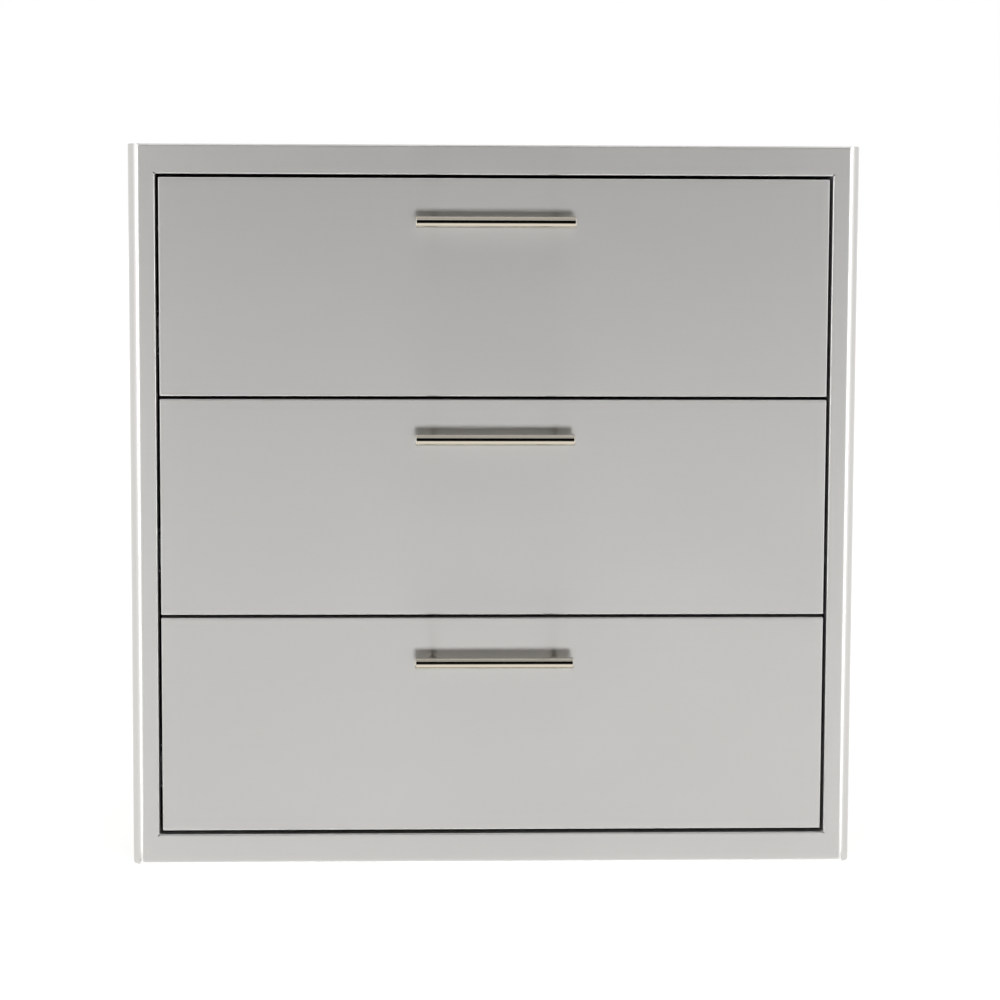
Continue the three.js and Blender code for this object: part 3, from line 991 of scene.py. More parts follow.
@dataclass(frozen=True)
class FrontFrame:
    """The flanged frame round the drawers: one sheet with rolled sides, bent ends, rear lip and jamb."""

    sheet: float = 1.2 * MM
    roll: float = 12.0 * MM
    bend: float = 2.0 * MM
    rear_bend: float = 1.8 * MM
    rear_lip: float = 10.0 * MM
    side_band: float = 28.4 * MM
    top_band: float = 30.8 * MM
    bottom_band: float = 32.2 * MM
    jamb_depth: float = 22.0 * MM
    jamb_bend: float = 1.6 * MM
    least_bend: float = 0.3 * MM
    outer_corner: float = 1.4 * MM
    opening_corner: float = 0.6 * MM
    slit_width: float = 1.3 * MM
    slit_reach: float = 2.0 * MM
    slit_back: float = 4.0 * MM
    slit_depth: float = 4.0 * MM
    slit_lead: float = 1.0 * MM
    slit_rounding: float = 0.6
    support: float = 0.4 * MM
    bend_steps: int = 5
    roll_steps: int = 8
    rear_steps: int = 4

    @cached_property
    def box(self) -> tuple[Vector, Vector]:
        """The frame's lowest and highest corners."""
        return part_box("front_frame")

    @cached_property
    def outline(self) -> Rect:
        """The frame's outline from the front."""
        low, high = self.box
        return Rect(low.x, high.x, low.z, high.z)

    @cached_property
    def opening(self) -> Rect:
        """The opening that the drawers close."""
        left, right = self.outline.left + self.side_band, self.outline.right - self.side_band
        return Rect(left, right, self.outline.low + self.bottom_band, self.outline.high - self.top_band)

    def outer_ring(self, side: float, end: float, depth: float) -> list[Vector]:
        """A ring inside the frame's outline, inset by side at the sides and by end at top and bottom."""
        ring = self.outline.grown(-side, -end).ring(self.outer_corner)
        return [lifted(p, Axis.Y, self.box[0].y + depth) for p in ring]

    def opening_ring(self, out: float, depth: float) -> list[Vector]:
        """A ring outside the opening by a distance."""
        ring = self.opening.grown(out).ring(self.opening_corner + out)
        return [lifted(p, Axis.Y, self.box[0].y + depth) for p in ring]

    def face_bends(self, inside: float) -> list[tuple[float, float, float]]:
        """Insets and depths round the rolled sides and the bent ends.

        Args:
            inside: How far the surface lies under the frame's outer skin.

        Returns:
            Rows of side inset, end inset and depth, from the face to the walls.
        """
        roll, bend = self.roll - inside, max(self.bend - inside, self.least_bend)
        start = acos(1 - bend / roll)
        depths = [bend * (1 - cos(t)) for t in quarter(self.bend_steps)]
        turns = [start + (pi / 2 - start) * i / self.roll_steps for i in range(1, self.roll_steps + 1)]
        depths += [roll * (1 - cos(t)) for t in turns]
        rows = []
        for depth in depths:
            side = roll - sqrt(max(roll**2 - (roll - depth) ** 2, 0))
            end = bend - sqrt(max(bend**2 - max(bend - depth, 0) ** 2, 0))
            rows.append((inside + side, inside + end, inside + depth))
        return rows

    def build(self) -> None:
        """Builds the frame."""
        depth = self.box[1].y - self.box[0].y
        rings = [self.outer_ring(self.roll + self.support, self.bend + self.support, 0.0)]
        rings += [self.outer_ring(*row) for row in self.face_bends(0.0)]
        rear, jamb = self.rear_bend, self.jamb_bend
        for radius, order in ((rear, 1), (rear - self.sheet, -1)):
            turns = quarter(self.rear_steps)
            rows = [(rear - radius * cos(t), depth - rear + radius * sin(t)) for t in turns]
            rows.append((self.rear_lip, depth - (rear - radius)))
            rings += [self.outer_ring(inset, inset, at) for inset, at in rows[::order]]
        rings += [self.outer_ring(*row) for row in self.face_bends(self.sheet)[::-1]]
        inner, turns = jamb - self.sheet, quarter(self.bend_steps)
        rings += [self.opening_ring(jamb - inner * sin(t), jamb - inner * cos(t)) for t in turns]
        rings += [self.opening_ring(self.sheet, self.jamb_depth), self.opening_ring(0.0, self.jamb_depth)]
        rings += [self.opening_ring(jamb - jamb * sin(t), jamb - jamb * cos(t)) for t in turns[::-1]]
        rings += [self.opening_ring(jamb + self.support, 0.0)]
        mesh = loft("front_frame", rings, closed=True)
        for slit in self.slits():
            mesh = cut(mesh, slit)
        fit("frame_sheet", mesh, FRONT_STEEL, "front_frame", ["front_frame"])

    def slits(self) -> list[Mesh]:
        """Makes cutters for the open mitres where the jamb's four bends meet.

        Returns:
            The cutters, one to a corner.
        """
        cutters, face, half = [], self.box[0].y, self.slit_width / 2
        flat = Rect(-self.slit_back, self.slit_reach * sqrt(2), -half, half)
        outline = flat.ring(half * self.slit_rounding, 3)
        for x, sx in ((self.opening.left, -1), (self.opening.right, 1)):
            for z, sz in ((self.opening.low, -1), (self.opening.high, 1)):
                turn = Matrix.Rotation(atan2(sz, sx), 2)
                points = [turn @ Vector(p) for p in outline]
                levels = (face - self.slit_lead, face + self.slit_depth)
                rings = [[Vector((x + p.x, y, z + p.y)) for p in points] for y in levels]
                cutters.append(loft("slit", rings))
        return cutters


@dataclass(frozen=True)
class Cabinet:
    """The five sheets behind the front frame, with their rivets."""

    workshop: Workshop
    sheet: float = 1.0 * MM
    bend_inside: float = 0.8 * MM
    flange: float = 12.0 * MM
    jamb_depth: float = FrontFrame.jamb_depth
    face_gap: float = 1.4 * MM
    hole_radius: float = 3.0 * MM
    hole_inset: float = 60.0 * MM
    flush_inset: float = 5.5 * MM
    flush_sink: float = 0.05 * MM
    flush_clear: float = 0.15 * MM
    notch: float = 4.0 * MM
    notch_clear: float = 1.2 * MM
    back_margin: float = 26.0 * MM
    back_break: float = 3.6 * MM
    back_corner: float = 1.0 * MM
    rivet_count: int = 6
    rivet_ends: float = 20.0 * MM
    rivet_setback: float = 10.0 * MM
    rivet_inset: float = 7.0 * MM
    back_rivet_inset: float = 6.0 * MM
    notch_lead: float = 2.0 * MM
    notch_corner: float = 0.8 * MM
    break_tips: tuple[float, ...] = (0.02, 0.0005)
    flush_places: tuple[float, ...] = (0.04, 0.27, 0.5, 0.73, 0.96)
    slide_rivets: tuple[float, ...] = (0.12, 0.4, 0.68, 0.94)

    def side_panel(self, side: str, sign: int) -> None:
        """Builds one side panel.

        Args:
            side: Its name, left or right.
            sign: -1 for the left, 1 for the right.
        """
        node = f"{side}_side_panel"
        low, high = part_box(node)
        out = max(abs(low.x), abs(high.x))
        path = [(out, low.y), (out, high.y), (out - self.flange - self.sheet, high.y)]
        section = [(sign * x, y) for x, y in sheet_section(path, self.sheet, self.bend_inside)]
        mesh = extruded(node, section, Axis.Z, low.z, high.z)
        depths = [low.y - self.face_gap + self.hole_inset, high.y - self.hole_inset]
        heights = [low.z + self.hole_inset, high.z - self.hole_inset]
        way = Vector((sign, 0, 0))
        holes = [(Vector((sign * (out - self.sheet / 2), y, z)), way) for y in depths for z in heights]
        mesh = self.workshop.punch(mesh, holes, self.hole_radius, CABINET_STEEL)
        hardware, tall = self.workshop.hardware, high.z - low.z
        x, y = sign * (out - self.sheet - self.flush_inset), high.y - self.flush_sink
        flush = [(Vector((x, y, low.z + tall * share)), BACK) for share in self.flush_places]
        mesh = self.workshop.punch(mesh, flush, hardware.flush_radius + self.flush_clear, CABINET_STEEL)
        fit(f"side_sheet_{side}", mesh, CABINET_STEEL, node, [node])
        self.workshop.fasten(f"rear_screws_{side}", hardware.flush_screw, flush, node)

        places = []
        first = low.y + self.jamb_depth + self.rivet_ends
        run = high.y - low.y - self.jamb_depth - 2 * self.rivet_ends
        rows = (low.z + self.rivet_inset, high.z - self.rivet_inset)
        for i in range(self.rivet_count):
            share = (i + 0.5) / self.rivet_count
            places += [(first + run * share, z) for z in rows]
            places.append((low.y + self.rivet_setback, low.z + tall * share))
        for drawer in DRAWERS:
            near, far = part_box(f"{drawer}_slide_outer_{side}")
            places += [(near.y + (far.y - near.y) * s, (near.z + far.z) / 2) for s in self.slide_rivets]
        seats = [(Vector((sign * out, y, z)), way) for y, z in places]
        self.workshop.fasten(f"side_rivets_{side}", hardware.rivet, seats, node)

    def plate(self, name: str, node: str, inward: int) -> None:
        """Builds the floor or the roof.

        Args:
            name: The piece's name.
            node: The node that it stands for.
            inward: 1 where its flanges turn up, -1 where they turn down.
        """
        low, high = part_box(node)
        outside = low.z if inward > 0 else high.z
        edge = outside + inward * (high.z - low.z)
        path = [(high.x, edge), (high.x, outside), (low.x, outside), (low.x, edge)]
        section = sheet_section(path[::-1] if inward > 0 else path, self.sheet, self.bend_inside)
        mesh = extruded(node, section, Axis.Y, low.y, high.y)
        near, far = low.y - self.notch_lead, low.y + self.jamb_depth - self.notch_clear
        levels = sorted((outside + inward * self.notch_clear, edge + inward * self.notch))
        for x in (low.x, high.x):
            rect = Rect(x - self.notch, x + self.notch, near, far)
            cutter = block("notch", rect, Axis.Z, self.notch_corner, [(0.0, z) for z in levels])
            mesh = cut(mesh, cutter)
        fit(name, mesh, CABINET_STEEL, node, [node])

    def back(self) -> None:
        """Builds the back sheet, stiffened by a shallow cross break."""
        low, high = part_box("back_panel")
        rect = Rect(low.x, high.x, low.z, high.z)
        rings = []
        for y, order in ((high.y, -1), (low.y, 1)):
            outline, inset = (
                [lifted(p, Axis.Y, y) for p in edge.ring(self.back_corner)]
                for edge in (rect, rect.grown(-self.back_margin))
            )
            middle = Vector(((low.x + high.x) / 2, y - self.back_break, (low.z + high.z) / 2))
            tip = [[middle + (p - middle) * share for p in inset] for share in self.break_tips]
            rings += [outline, inset, *tip][::order]
        fit("back_sheet", loft("back_panel", rings), CABINET_STEEL, "back_panel", ["back_panel"])

        seats = []
        for i in range(self.rivet_count):
            height = low.z + (high.z - low.z) * (i + 0.5) / self.rivet_count
            for x in (low.x + self.back_rivet_inset, high.x - self.back_rivet_inset):
                seats.append((Vector((x, low.y, height)), -BACK))
        self.workshop.fasten("back_rivets", self.workshop.hardware.rivet, seats, "back_panel")

    def build(self) -> None:
        """Builds the cabinet."""
        self.side_panel("left", -1)
        self.side_panel("right", 1)
        self.plate("roof_sheet", "top_panel", -1)
        self.plate("floor_sheet", "bottom_panel", 1)
        self.back()


@dataclass(frozen=True)
class DrawerFront:
    """The skin that faces the cook, and the liner that closes it from behind."""

    workshop: Workshop
    drawer: str
    sheet: float = 1.0 * MM
    skin_bend: float = 1.25 * MM
    skin_corner: float = 1.0 * MM
    liner_bend: float = 1.6 * MM
    liner_corner: float = 1.2 * MM
    hole_radius: float = 2.5 * MM

    def holes(self, y: float) -> Seats:
        """The centres of the screw holes at a depth, with the way out of the front."""
        boxes = [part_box(f"{self.drawer}_handle_screw_{side}") for side in ("left", "right")]
        return [(Vector(((low.x + high.x) / 2, y, (low.z + high.z) / 2)), -BACK) for low, high in boxes]

    def build(self) -> None:
        """Builds the skin and the liner."""
        for part, bend, corner, finish in (
            ("skin", self.skin_bend, self.skin_corner, FRONT_STEEL),
            ("liner", self.liner_bend, self.liner_corner, TRAY_STEEL),
        ):
            node = f"{self.drawer}_front_{part}"
            low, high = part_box(node)
            web, rim = (low.y, high.y) if part == "skin" else (high.y, low.y)
            rect = Rect(low.x, high.x, low.z, high.z)
            mesh = Pan(node, rect, Axis.Y, web, rim - web, self.sheet, bend, corner).mesh
            mesh = self.workshop.punch(mesh, self.holes(web), self.hole_radius, finish)
            fit(f"{self.drawer}_{part}_sheet", mesh, finish, node, [node])


@dataclass(frozen=True)
class Tray:
    """The drawer box: one folded sheet with a hemmed rim, screwed to the front and to its slides."""

    workshop: Workshop
    drawer: str
    sheet: float = 1.0 * MM
    bend: float = 2.2 * MM
    corner: float = 2.4 * MM
    hem: float = 8.0 * MM
    screw_scale: float = 0.85
    screw_columns: tuple[float, ...] = (-0.8, -0.27, 0.27, 0.8)
    screw_rows: tuple[float, ...] = (0.25, 0.78)
    slide_screws: tuple[float, ...] = (0.08, 0.36, 0.66, 0.94)

    def build(self) -> None:
        """Builds the tray and its screws."""
        node = f"{self.drawer}_tray"
        low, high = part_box(node)
        rect = Rect(low.x, high.x, low.y, high.y)
        tall = high.z - low.z
        pan = Pan(node, rect, Axis.Z, low.z, tall, self.sheet, self.bend, self.corner, self.hem)
        fit(f"{self.drawer}_tray_sheet", pan.mesh, TRAY_STEEL, node, [node])

        front = low.y + self.sheet
        places = [(high.x * x, low.z + tall * z) for x in self.screw_columns for z in self.screw_rows]
        seats = [(Vector((x, front, z)), BACK) for x, z in places]
        near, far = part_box(f"{self.drawer}_slide_inner_right")
        for sign in (-1, 1):
            for share in self.slide_screws:
                y = near.y + (far.y - near.y) * share
                at = Vector((sign * (high.x - self.sheet), y, (near.z + far.z) / 2))
                seats.append((at, Vector((-sign, 0, 0))))
        screw = self.workshop.hardware.short_screw
        self.workshop.fasten(f"{self.drawer}_tray_screws", screw, seats, node, scale=self.screw_scale)


@dataclass(frozen=True)
class Handle:
    """A round bar on two posts, screwed on from inside the front."""

    workshop: Workshop
    drawer: str
    chamfer: float = 0.9 * MM
    bar_facets: int = 96
    post_facets: int = 48
    post_chamfer: float = 0.6 * MM
    bar_lip: float = 0.12 * MM
    seat: float = 0.05 * MM
    overlap: float = 0.15 * MM
    hole_radius: float = 2.3 * MM
    hole_depth: float = 15.0 * MM
    hole_chamfer: float = 0.5 * MM
    bar_end: float = 0.6 * MM
    post_foot: float = 4.0 * MM
    saddle_rings: tuple[float, ...] = (1.0, 0.7, 0.35, 0.02)
    screw_head: float = Hardware.head_height

    def bar(self) -> tuple[Vector, float]:
        """Builds the bar.

        Returns:
            The bar's centre and its radius.
        """
        node = f"{self.drawer}_handle_bar"
        low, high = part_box(node)
        centre = (low + high) / 2
        half, radius = (high.x - low.x) / 2, (high.y - low.y) / 2
        lip = self.bar_lip
        end = [
            (0.0, -half),
            (radius - self.chamfer - lip, -half),
            (radius - self.chamfer, -half + lip * 0.3),
            (radius - lip * 0.4, -half + self.chamfer - lip * 0.4),
            (radius, -half + self.chamfer + lip),
            (radius, -half + self.chamfer + self.bar_end),
        ]
        profile = end + [(r, -along) for r, along in end[::-1]]
        mesh = turned(node, profile, Axis.X, centre, self.bar_facets)
        fit(f"{self.drawer}_bar", mesh, HANDLE_POLISH, node, [node])
        return centre, radius

    def post(self, side: str, bar_centre: Vector, bar_radius: float) -> None:
        """Builds one post, its front end hollowed to sit under the bar.

        Args:
            side: left or right.
            bar_centre: The bar's centre.
            bar_radius: The bar's radius.
        """
        node = f"{self.drawer}_handle_post_{side}"
        low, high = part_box(node)
        axis = (low + high) / 2
        radius, foot = (high.x - low.x) / 2, high.y + self.overlap
        saddle = bar_radius + self.seat
        circle = arc((0.0, 0.0), 1.0, 0, 360, self.post_facets)[:-1]

        def level(r: float, y: float | None = None) -> list[Vector]:
            """Makes a ring of the post.

            Args:
                r: The ring's radius.
                y: Its place along Y, or none for a ring on the saddle.

            Returns:
                The ring's points.
            """
            ring = []
            for cx, cz in circle:
                x, z = axis.x + r * cx, axis.z + r * cz
                drop = sqrt(max(saddle**2 - (z - bar_centre.z) ** 2, 0))
                ring.append(Vector((x, bar_centre.y + drop if y is None else y, z)))
            return ring

        hole, chamfer = self.hole_radius, self.post_chamfer
        flat = [
            (hole * 0.1, self.hole_depth),
            (hole, self.hole_depth),
            (hole, self.hole_chamfer),
            (hole + self.hole_chamfer, 0.0),
            (radius - chamfer, 0.0),
            (radius - 0.1 * MM, chamfer - 0.1 * MM),
            (radius, chamfer + 0.2 * MM),
            (radius, self.post_foot),
        ]
        rings = [level(r, foot - rise) for r, rise in flat]
        rings += [level(radius * share) for share in self.saddle_rings]
        fit(f"{self.drawer}_post_{side}", loft(node, rings), HANDLE_POLISH, node, [node])

    def build(self) -> None:
        """Builds the bar, its posts and their screws."""
        centre, radius = self.bar()
        for side in ("left", "right"):
            self.post(side, centre, radius)
            node = f"{self.drawer}_handle_screw_{side}"
            low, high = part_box(node)
            seat = Vector(((low.x + high.x) / 2, high.y - self.screw_head, (low.z + high.z) / 2))
            screw, name = self.workshop.hardware.handle_screw, f"{self.drawer}_screw_{side}"
            self.workshop.fasten(name, screw, [(seat, BACK)], node, [node])


@dataclass(frozen=True)
class Member:
    """One rolled channel of a slide, or one ball cage; web and tip are depths from the cabinet side."""

    node: str
    finish: MetalFinish
    sheet: float
    lip: float
    bend_inside: float
    web: float
    tip: float
    punch_width: float
    punch_height: float
    punch_first: float
    punch_last: float
    punch_count: int


@dataclass(frozen=True)
class Slide:
    """A full-extension slide: three rolled channels and two ball cages, with a stop and a buffer."""

    workshop: Workshop
    sheet: float = 1.2 * MM
    bend_inside: float = 0.7 * MM
    cage_sheet: float = 0.5 * MM
    cage_bend_inside: float = 0.35 * MM
    cage_strap: float = 14.0 * MM
    ball_radius: float = 1.8 * MM
    balls_per_row: int = 10
    race_depth: float = 9.5 * MM
    punch_corner: float = 2.5 * MM
    punch_reach: float = 2.5 * MM
    bend_steps: int = 3
    stop_half: float = 12.4 * MM
    stop_corner: float = 1.5 * MM
    stop_edge: float = 0.15 * MM
    buffer_gap: float = 0.4 * MM
    buffer_reach: float = 349.2 * MM
    buffer_half: float = 8.5 * MM
    buffer_length: float = 8.0 * MM
    buffer_corner: float = 1.4 * MM

    @cached_property
    def mount(self) -> float:
        """The distance of the slides' mounting faces from the unit's middle plane."""
        return abs(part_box("bottom_slide_outer_right")[1].x)

    def members(self) -> list[Member]:
        """Sizes the channels and cages, from the cabinet side inwards.

        Returns:
            Their sizes.
        """
        channel = (SLIDE_ZINC, self.sheet, 1 * MM, self.bend_inside)
        cage = (CAGE_STEEL, self.cage_sheet, 0.5 * MM, self.cage_bend_inside)
        # In millimetres: web, tip, each slot's width and height, the first and last slot. Then the count.
        rows = (
            ("slide_outer", channel, 0.0, 10.7, 9, 5, 32, 470, 6),
            ("outer_cage", cage, 1.45, 9.25, 38, 26, 34, 206, 5),
            ("slide_middle", channel, 2.2, 10.7, 14, 7, 22, 474, 4),
            ("inner_cage", cage, 3.65, 9.25, 38, 17, 34, 206, 5),
            ("slide_inner", channel, 12.7, 4.4, 10, 5, 39, 461, 4),
        )
        return [Member(node, *kind, *(mm * MM for mm in sizes), count) for node, kind, *sizes, count in rows]

    def section(self, member: Member, half: float) -> Mesh:
        """The section of a member as one face at the origin, its web at no depth and its tips at plus X.

        Args:
            member: The member.
            half: Half its height.

        Returns:
            The face, facing -Y.
        """
        span = abs(member.tip - member.web)
        lip = half - member.sheet - member.lip
        path = [(span, lip), (span, half), (0.0, half), (0.0, -half), (span, -half), (span, -lip)]
        outline = sheet_section(path, member.sheet, member.bend_inside, self.bend_steps)
        mesh = bpy.data.meshes.new("section")
        mesh.from_pydata([(x, 0.0, z) for x, z in outline], [], [list(range(len(outline)))])
        return mesh

    def channel(self, member: Member, side: str, sign: int) -> Mesh:
        """Makes one member at the bottom drawer.

        Args:
            member: The member.
            side: left or right.
            sign: -1 for the left, 1 for the right.

        Returns:
            The mesh.
        """
        node = f"bottom_{member.node}_{side}"
        low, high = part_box(node)
        half = (high.z - low.z) / 2
        if member.sheet == self.cage_sheet:
            half = self.ball_height(member.node) + self.cage_sheet / 2
        across, up = member.punch_width / 2, member.punch_height / 2
        rounding = min(min(across, up) * 0.98, self.punch_corner)
        levels = [(0.0, x) for x in (-self.punch_reach, self.punch_reach)]
        tool = block("slot", Rect(-across, across, -up, up), Axis.X, rounding, levels)
        count = member.punch_count
        values = {
            "Length": high.y - low.y,
            "Punch": pattern(f"{member.node}_{side}_punch", tool),
            "First": Vector((0.0, member.punch_first, 0.0)),
            "Pitch": (member.punch_last - member.punch_first) / (count - 1),
            "Count": count,
        }
        mesh = self.workshop.channels.run(node, self.section(member, half), values, member.finish)
        facing = -sign if member.tip > member.web else sign
        place = Matrix.Translation((sign * (self.mount - member.web), low.y, (low.z + high.z) / 2))
        mesh.transform(place @ Matrix.Diagonal((facing, 1, 1, 1)))
        if facing < 0:
            mesh.flip_normals()
        return mesh

    def ball_height(self, cage: str) -> float:
        """Finds how far a cage's rows of balls lie above and below the slide's middle.

        Args:
            cage: The cage's name without its drawer and side.

        Returns:
            The height.
        """
        around = ("slide_middle", "slide_outer") if cage == "outer_cage" else ("slide_inner", "slide_middle")
        inner, outer = ((b[1].z - b[0].z) / 2 for b in (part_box(f"bottom_{part}_left") for part in around))
        return (inner + outer - self.sheet) / 2

    def balls(self, node: str, depth: float, height: float) -> Mesh:
        """Makes both rows of balls of one cage.

        Args:
            node: The cage's node.
            depth: The distance of the rows' middle from the cabinet's middle plane.
            height: The height of each row from the slide's middle.

        Returns:
            The mesh.
        """
        low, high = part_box(node)
        middle = (low.z + high.z) / 2
        starts = [(depth, low.y + self.cage_strap, middle + h) for h in (-height, height)]
        carrier = bpy.data.meshes.new("ball_starts")
        carrier.from_pydata(starts, [], [])
        pitch = (high.y - low.y - 2 * self.cage_strap) / (self.balls_per_row - 1)
        values = {"Balls": self.balls_per_row, "Pitch": pitch, "Radius": self.ball_radius}
        return self.workshop.balls.run("balls", carrier, values, BALL_STEEL)

    def stop(self, node: str, sign: int) -> Mesh:
        """Makes the tab bent across the rear end of an outer member.

        Args:
            node: The outer member's node.
            sign: -1 for the left, 1 for the right.

        Returns:
            The mesh.
        """
        low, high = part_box(node)
        middle, rear = (low.z + high.z) / 2, high.y - self.sheet
        left, right = (low.x, high.x - self.sheet) if sign > 0 else (low.x + self.sheet, high.x)
        rect = Rect(left, right, middle - self.stop_half, middle + self.stop_half)
        edge = self.stop_edge
        levels = ((edge, rear), (0.0, rear + edge), (0.0, high.y - edge), (edge, high.y))
        return block("stop", rect, Axis.Y, self.stop_corner, levels)

    def buffer(self, node: str, sign: int) -> Mesh:
        """Makes the rubber block that the inner member meets when the drawer shuts.

        Args:
            node: The outer member's node.
            sign: -1 for the left, 1 for the right.

        Returns:
            The mesh.
        """
        low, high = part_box(node)
        middle, rear = (low.z + high.z) / 2, high.y - self.sheet
        inner = abs(low.x if sign > 0 else high.x) + self.buffer_gap
        left, right = sorted((sign * inner, sign * self.buffer_reach))
        rect = Rect(left, right, middle - self.buffer_half, middle + self.buffer_half)
        tip = rear - self.buffer_length
        dome = ((0.0, 1.2), (0.3, 0.5), (0.9, 0.1), (1.5, 0.0))
        levels = [(0.0, rear), *((inset * MM, tip + back * MM) for inset, back in dome)]
        return block("buffer", rect, Axis.Y, self.buffer_corner, levels)

    def build(self) -> None:
        """Builds all six slides: one pair is made, and copied up to the other drawers."""
        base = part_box("bottom_slide_outer_left")[0].z
        for side, sign in (("left", -1), ("right", 1)):
            made = {member.node: (member, self.channel(member, side, sign)) for member in self.members()}
            outer = f"bottom_slide_outer_{side}"
            member, channel = made["slide_outer"]
            made["slide_outer"] = (member, joined(outer, [channel, self.stop(outer, sign)]))
            buffer = self.buffer(outer, sign)
            races = {}
            for cage, around in (("outer_cage", "slide_outer"), ("inner_cage", "slide_middle")):
                depth = (made[around][0].web + self.sheet + self.race_depth) / 2
                at = sign * (self.mount - depth)
                races[cage] = self.balls(f"bottom_{cage}_{side}", at, self.ball_height(cage))
            for drawer in DRAWERS:
                up = Vector((0, 0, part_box(f"{drawer}_slide_outer_left")[0].z - base))
                for part, (member, mesh) in made.items():
                    node = f"{drawer}_{part}_{side}"
                    name = f"{drawer}_{part}_{side}_channel"
                    fit(name, moved(mesh, name, up), member.finish, node, [node])
                    if part in races:
                        name = f"{drawer}_{part}_{side}_balls"
                        fit(name, moved(races[part], name, up), BALL_STEEL, node, slot="cage_steel")
                name = f"{drawer}_buffer_{side}"
                fit(name, moved(buffer, name, up), BUFFER_RUBBER, f"{drawer}_slide_outer_{side}")


class Lit(Enum):
    """What a lamp lights, as flags and cards would have it."""

    ALL = "all"
    FRONT = "brushed_front"
    EDGES = "rolled_edges"
    HANDLES = "polished_handles"


@dataclass(frozen=True)
class SoftBox:
    """A flat lamp that faces the unit.

    Azimuth and rise are angles round the unit's middle in degrees, 0 straight in front and level; azimuth is
    positive to the right. Radiance is how bright its face is, where 1 is the white of the room.
    """

    name: str
    azimuth: float
    rise: float
    distance: float
    width: float
    height: float
    radiance: float
    lit: Lit = Lit.ALL
    colour: str = "#FFFFFF"

    def hang(self, aim: Vector) -> Object:
        """Hangs the lamp so that it faces a point.

        Args:
            aim: The point.

        Returns:
            The lamp.
        """
        data = bpy.data.lights.new(self.name, "AREA")
        data.shape, data.size, data.size_y = "RECTANGLE", self.width, self.height
        data.energy = self.radiance * pi * self.width * self.height
        data.color = linear(self.colour)[:3]
        obj = new_object(self.name, data)
        turn, lift = radians(self.azimuth), radians(self.rise)
        away = Vector((sin(turn) * cos(lift), -cos(turn) * cos(lift), sin(lift)))
        look = (-away).to_track_quat("-Z", "Y").to_matrix().to_4x4()
        obj.matrix_world = Matrix.Translation(aim + away * self.distance) @ look
        obj.visible_camera = False
        return obj


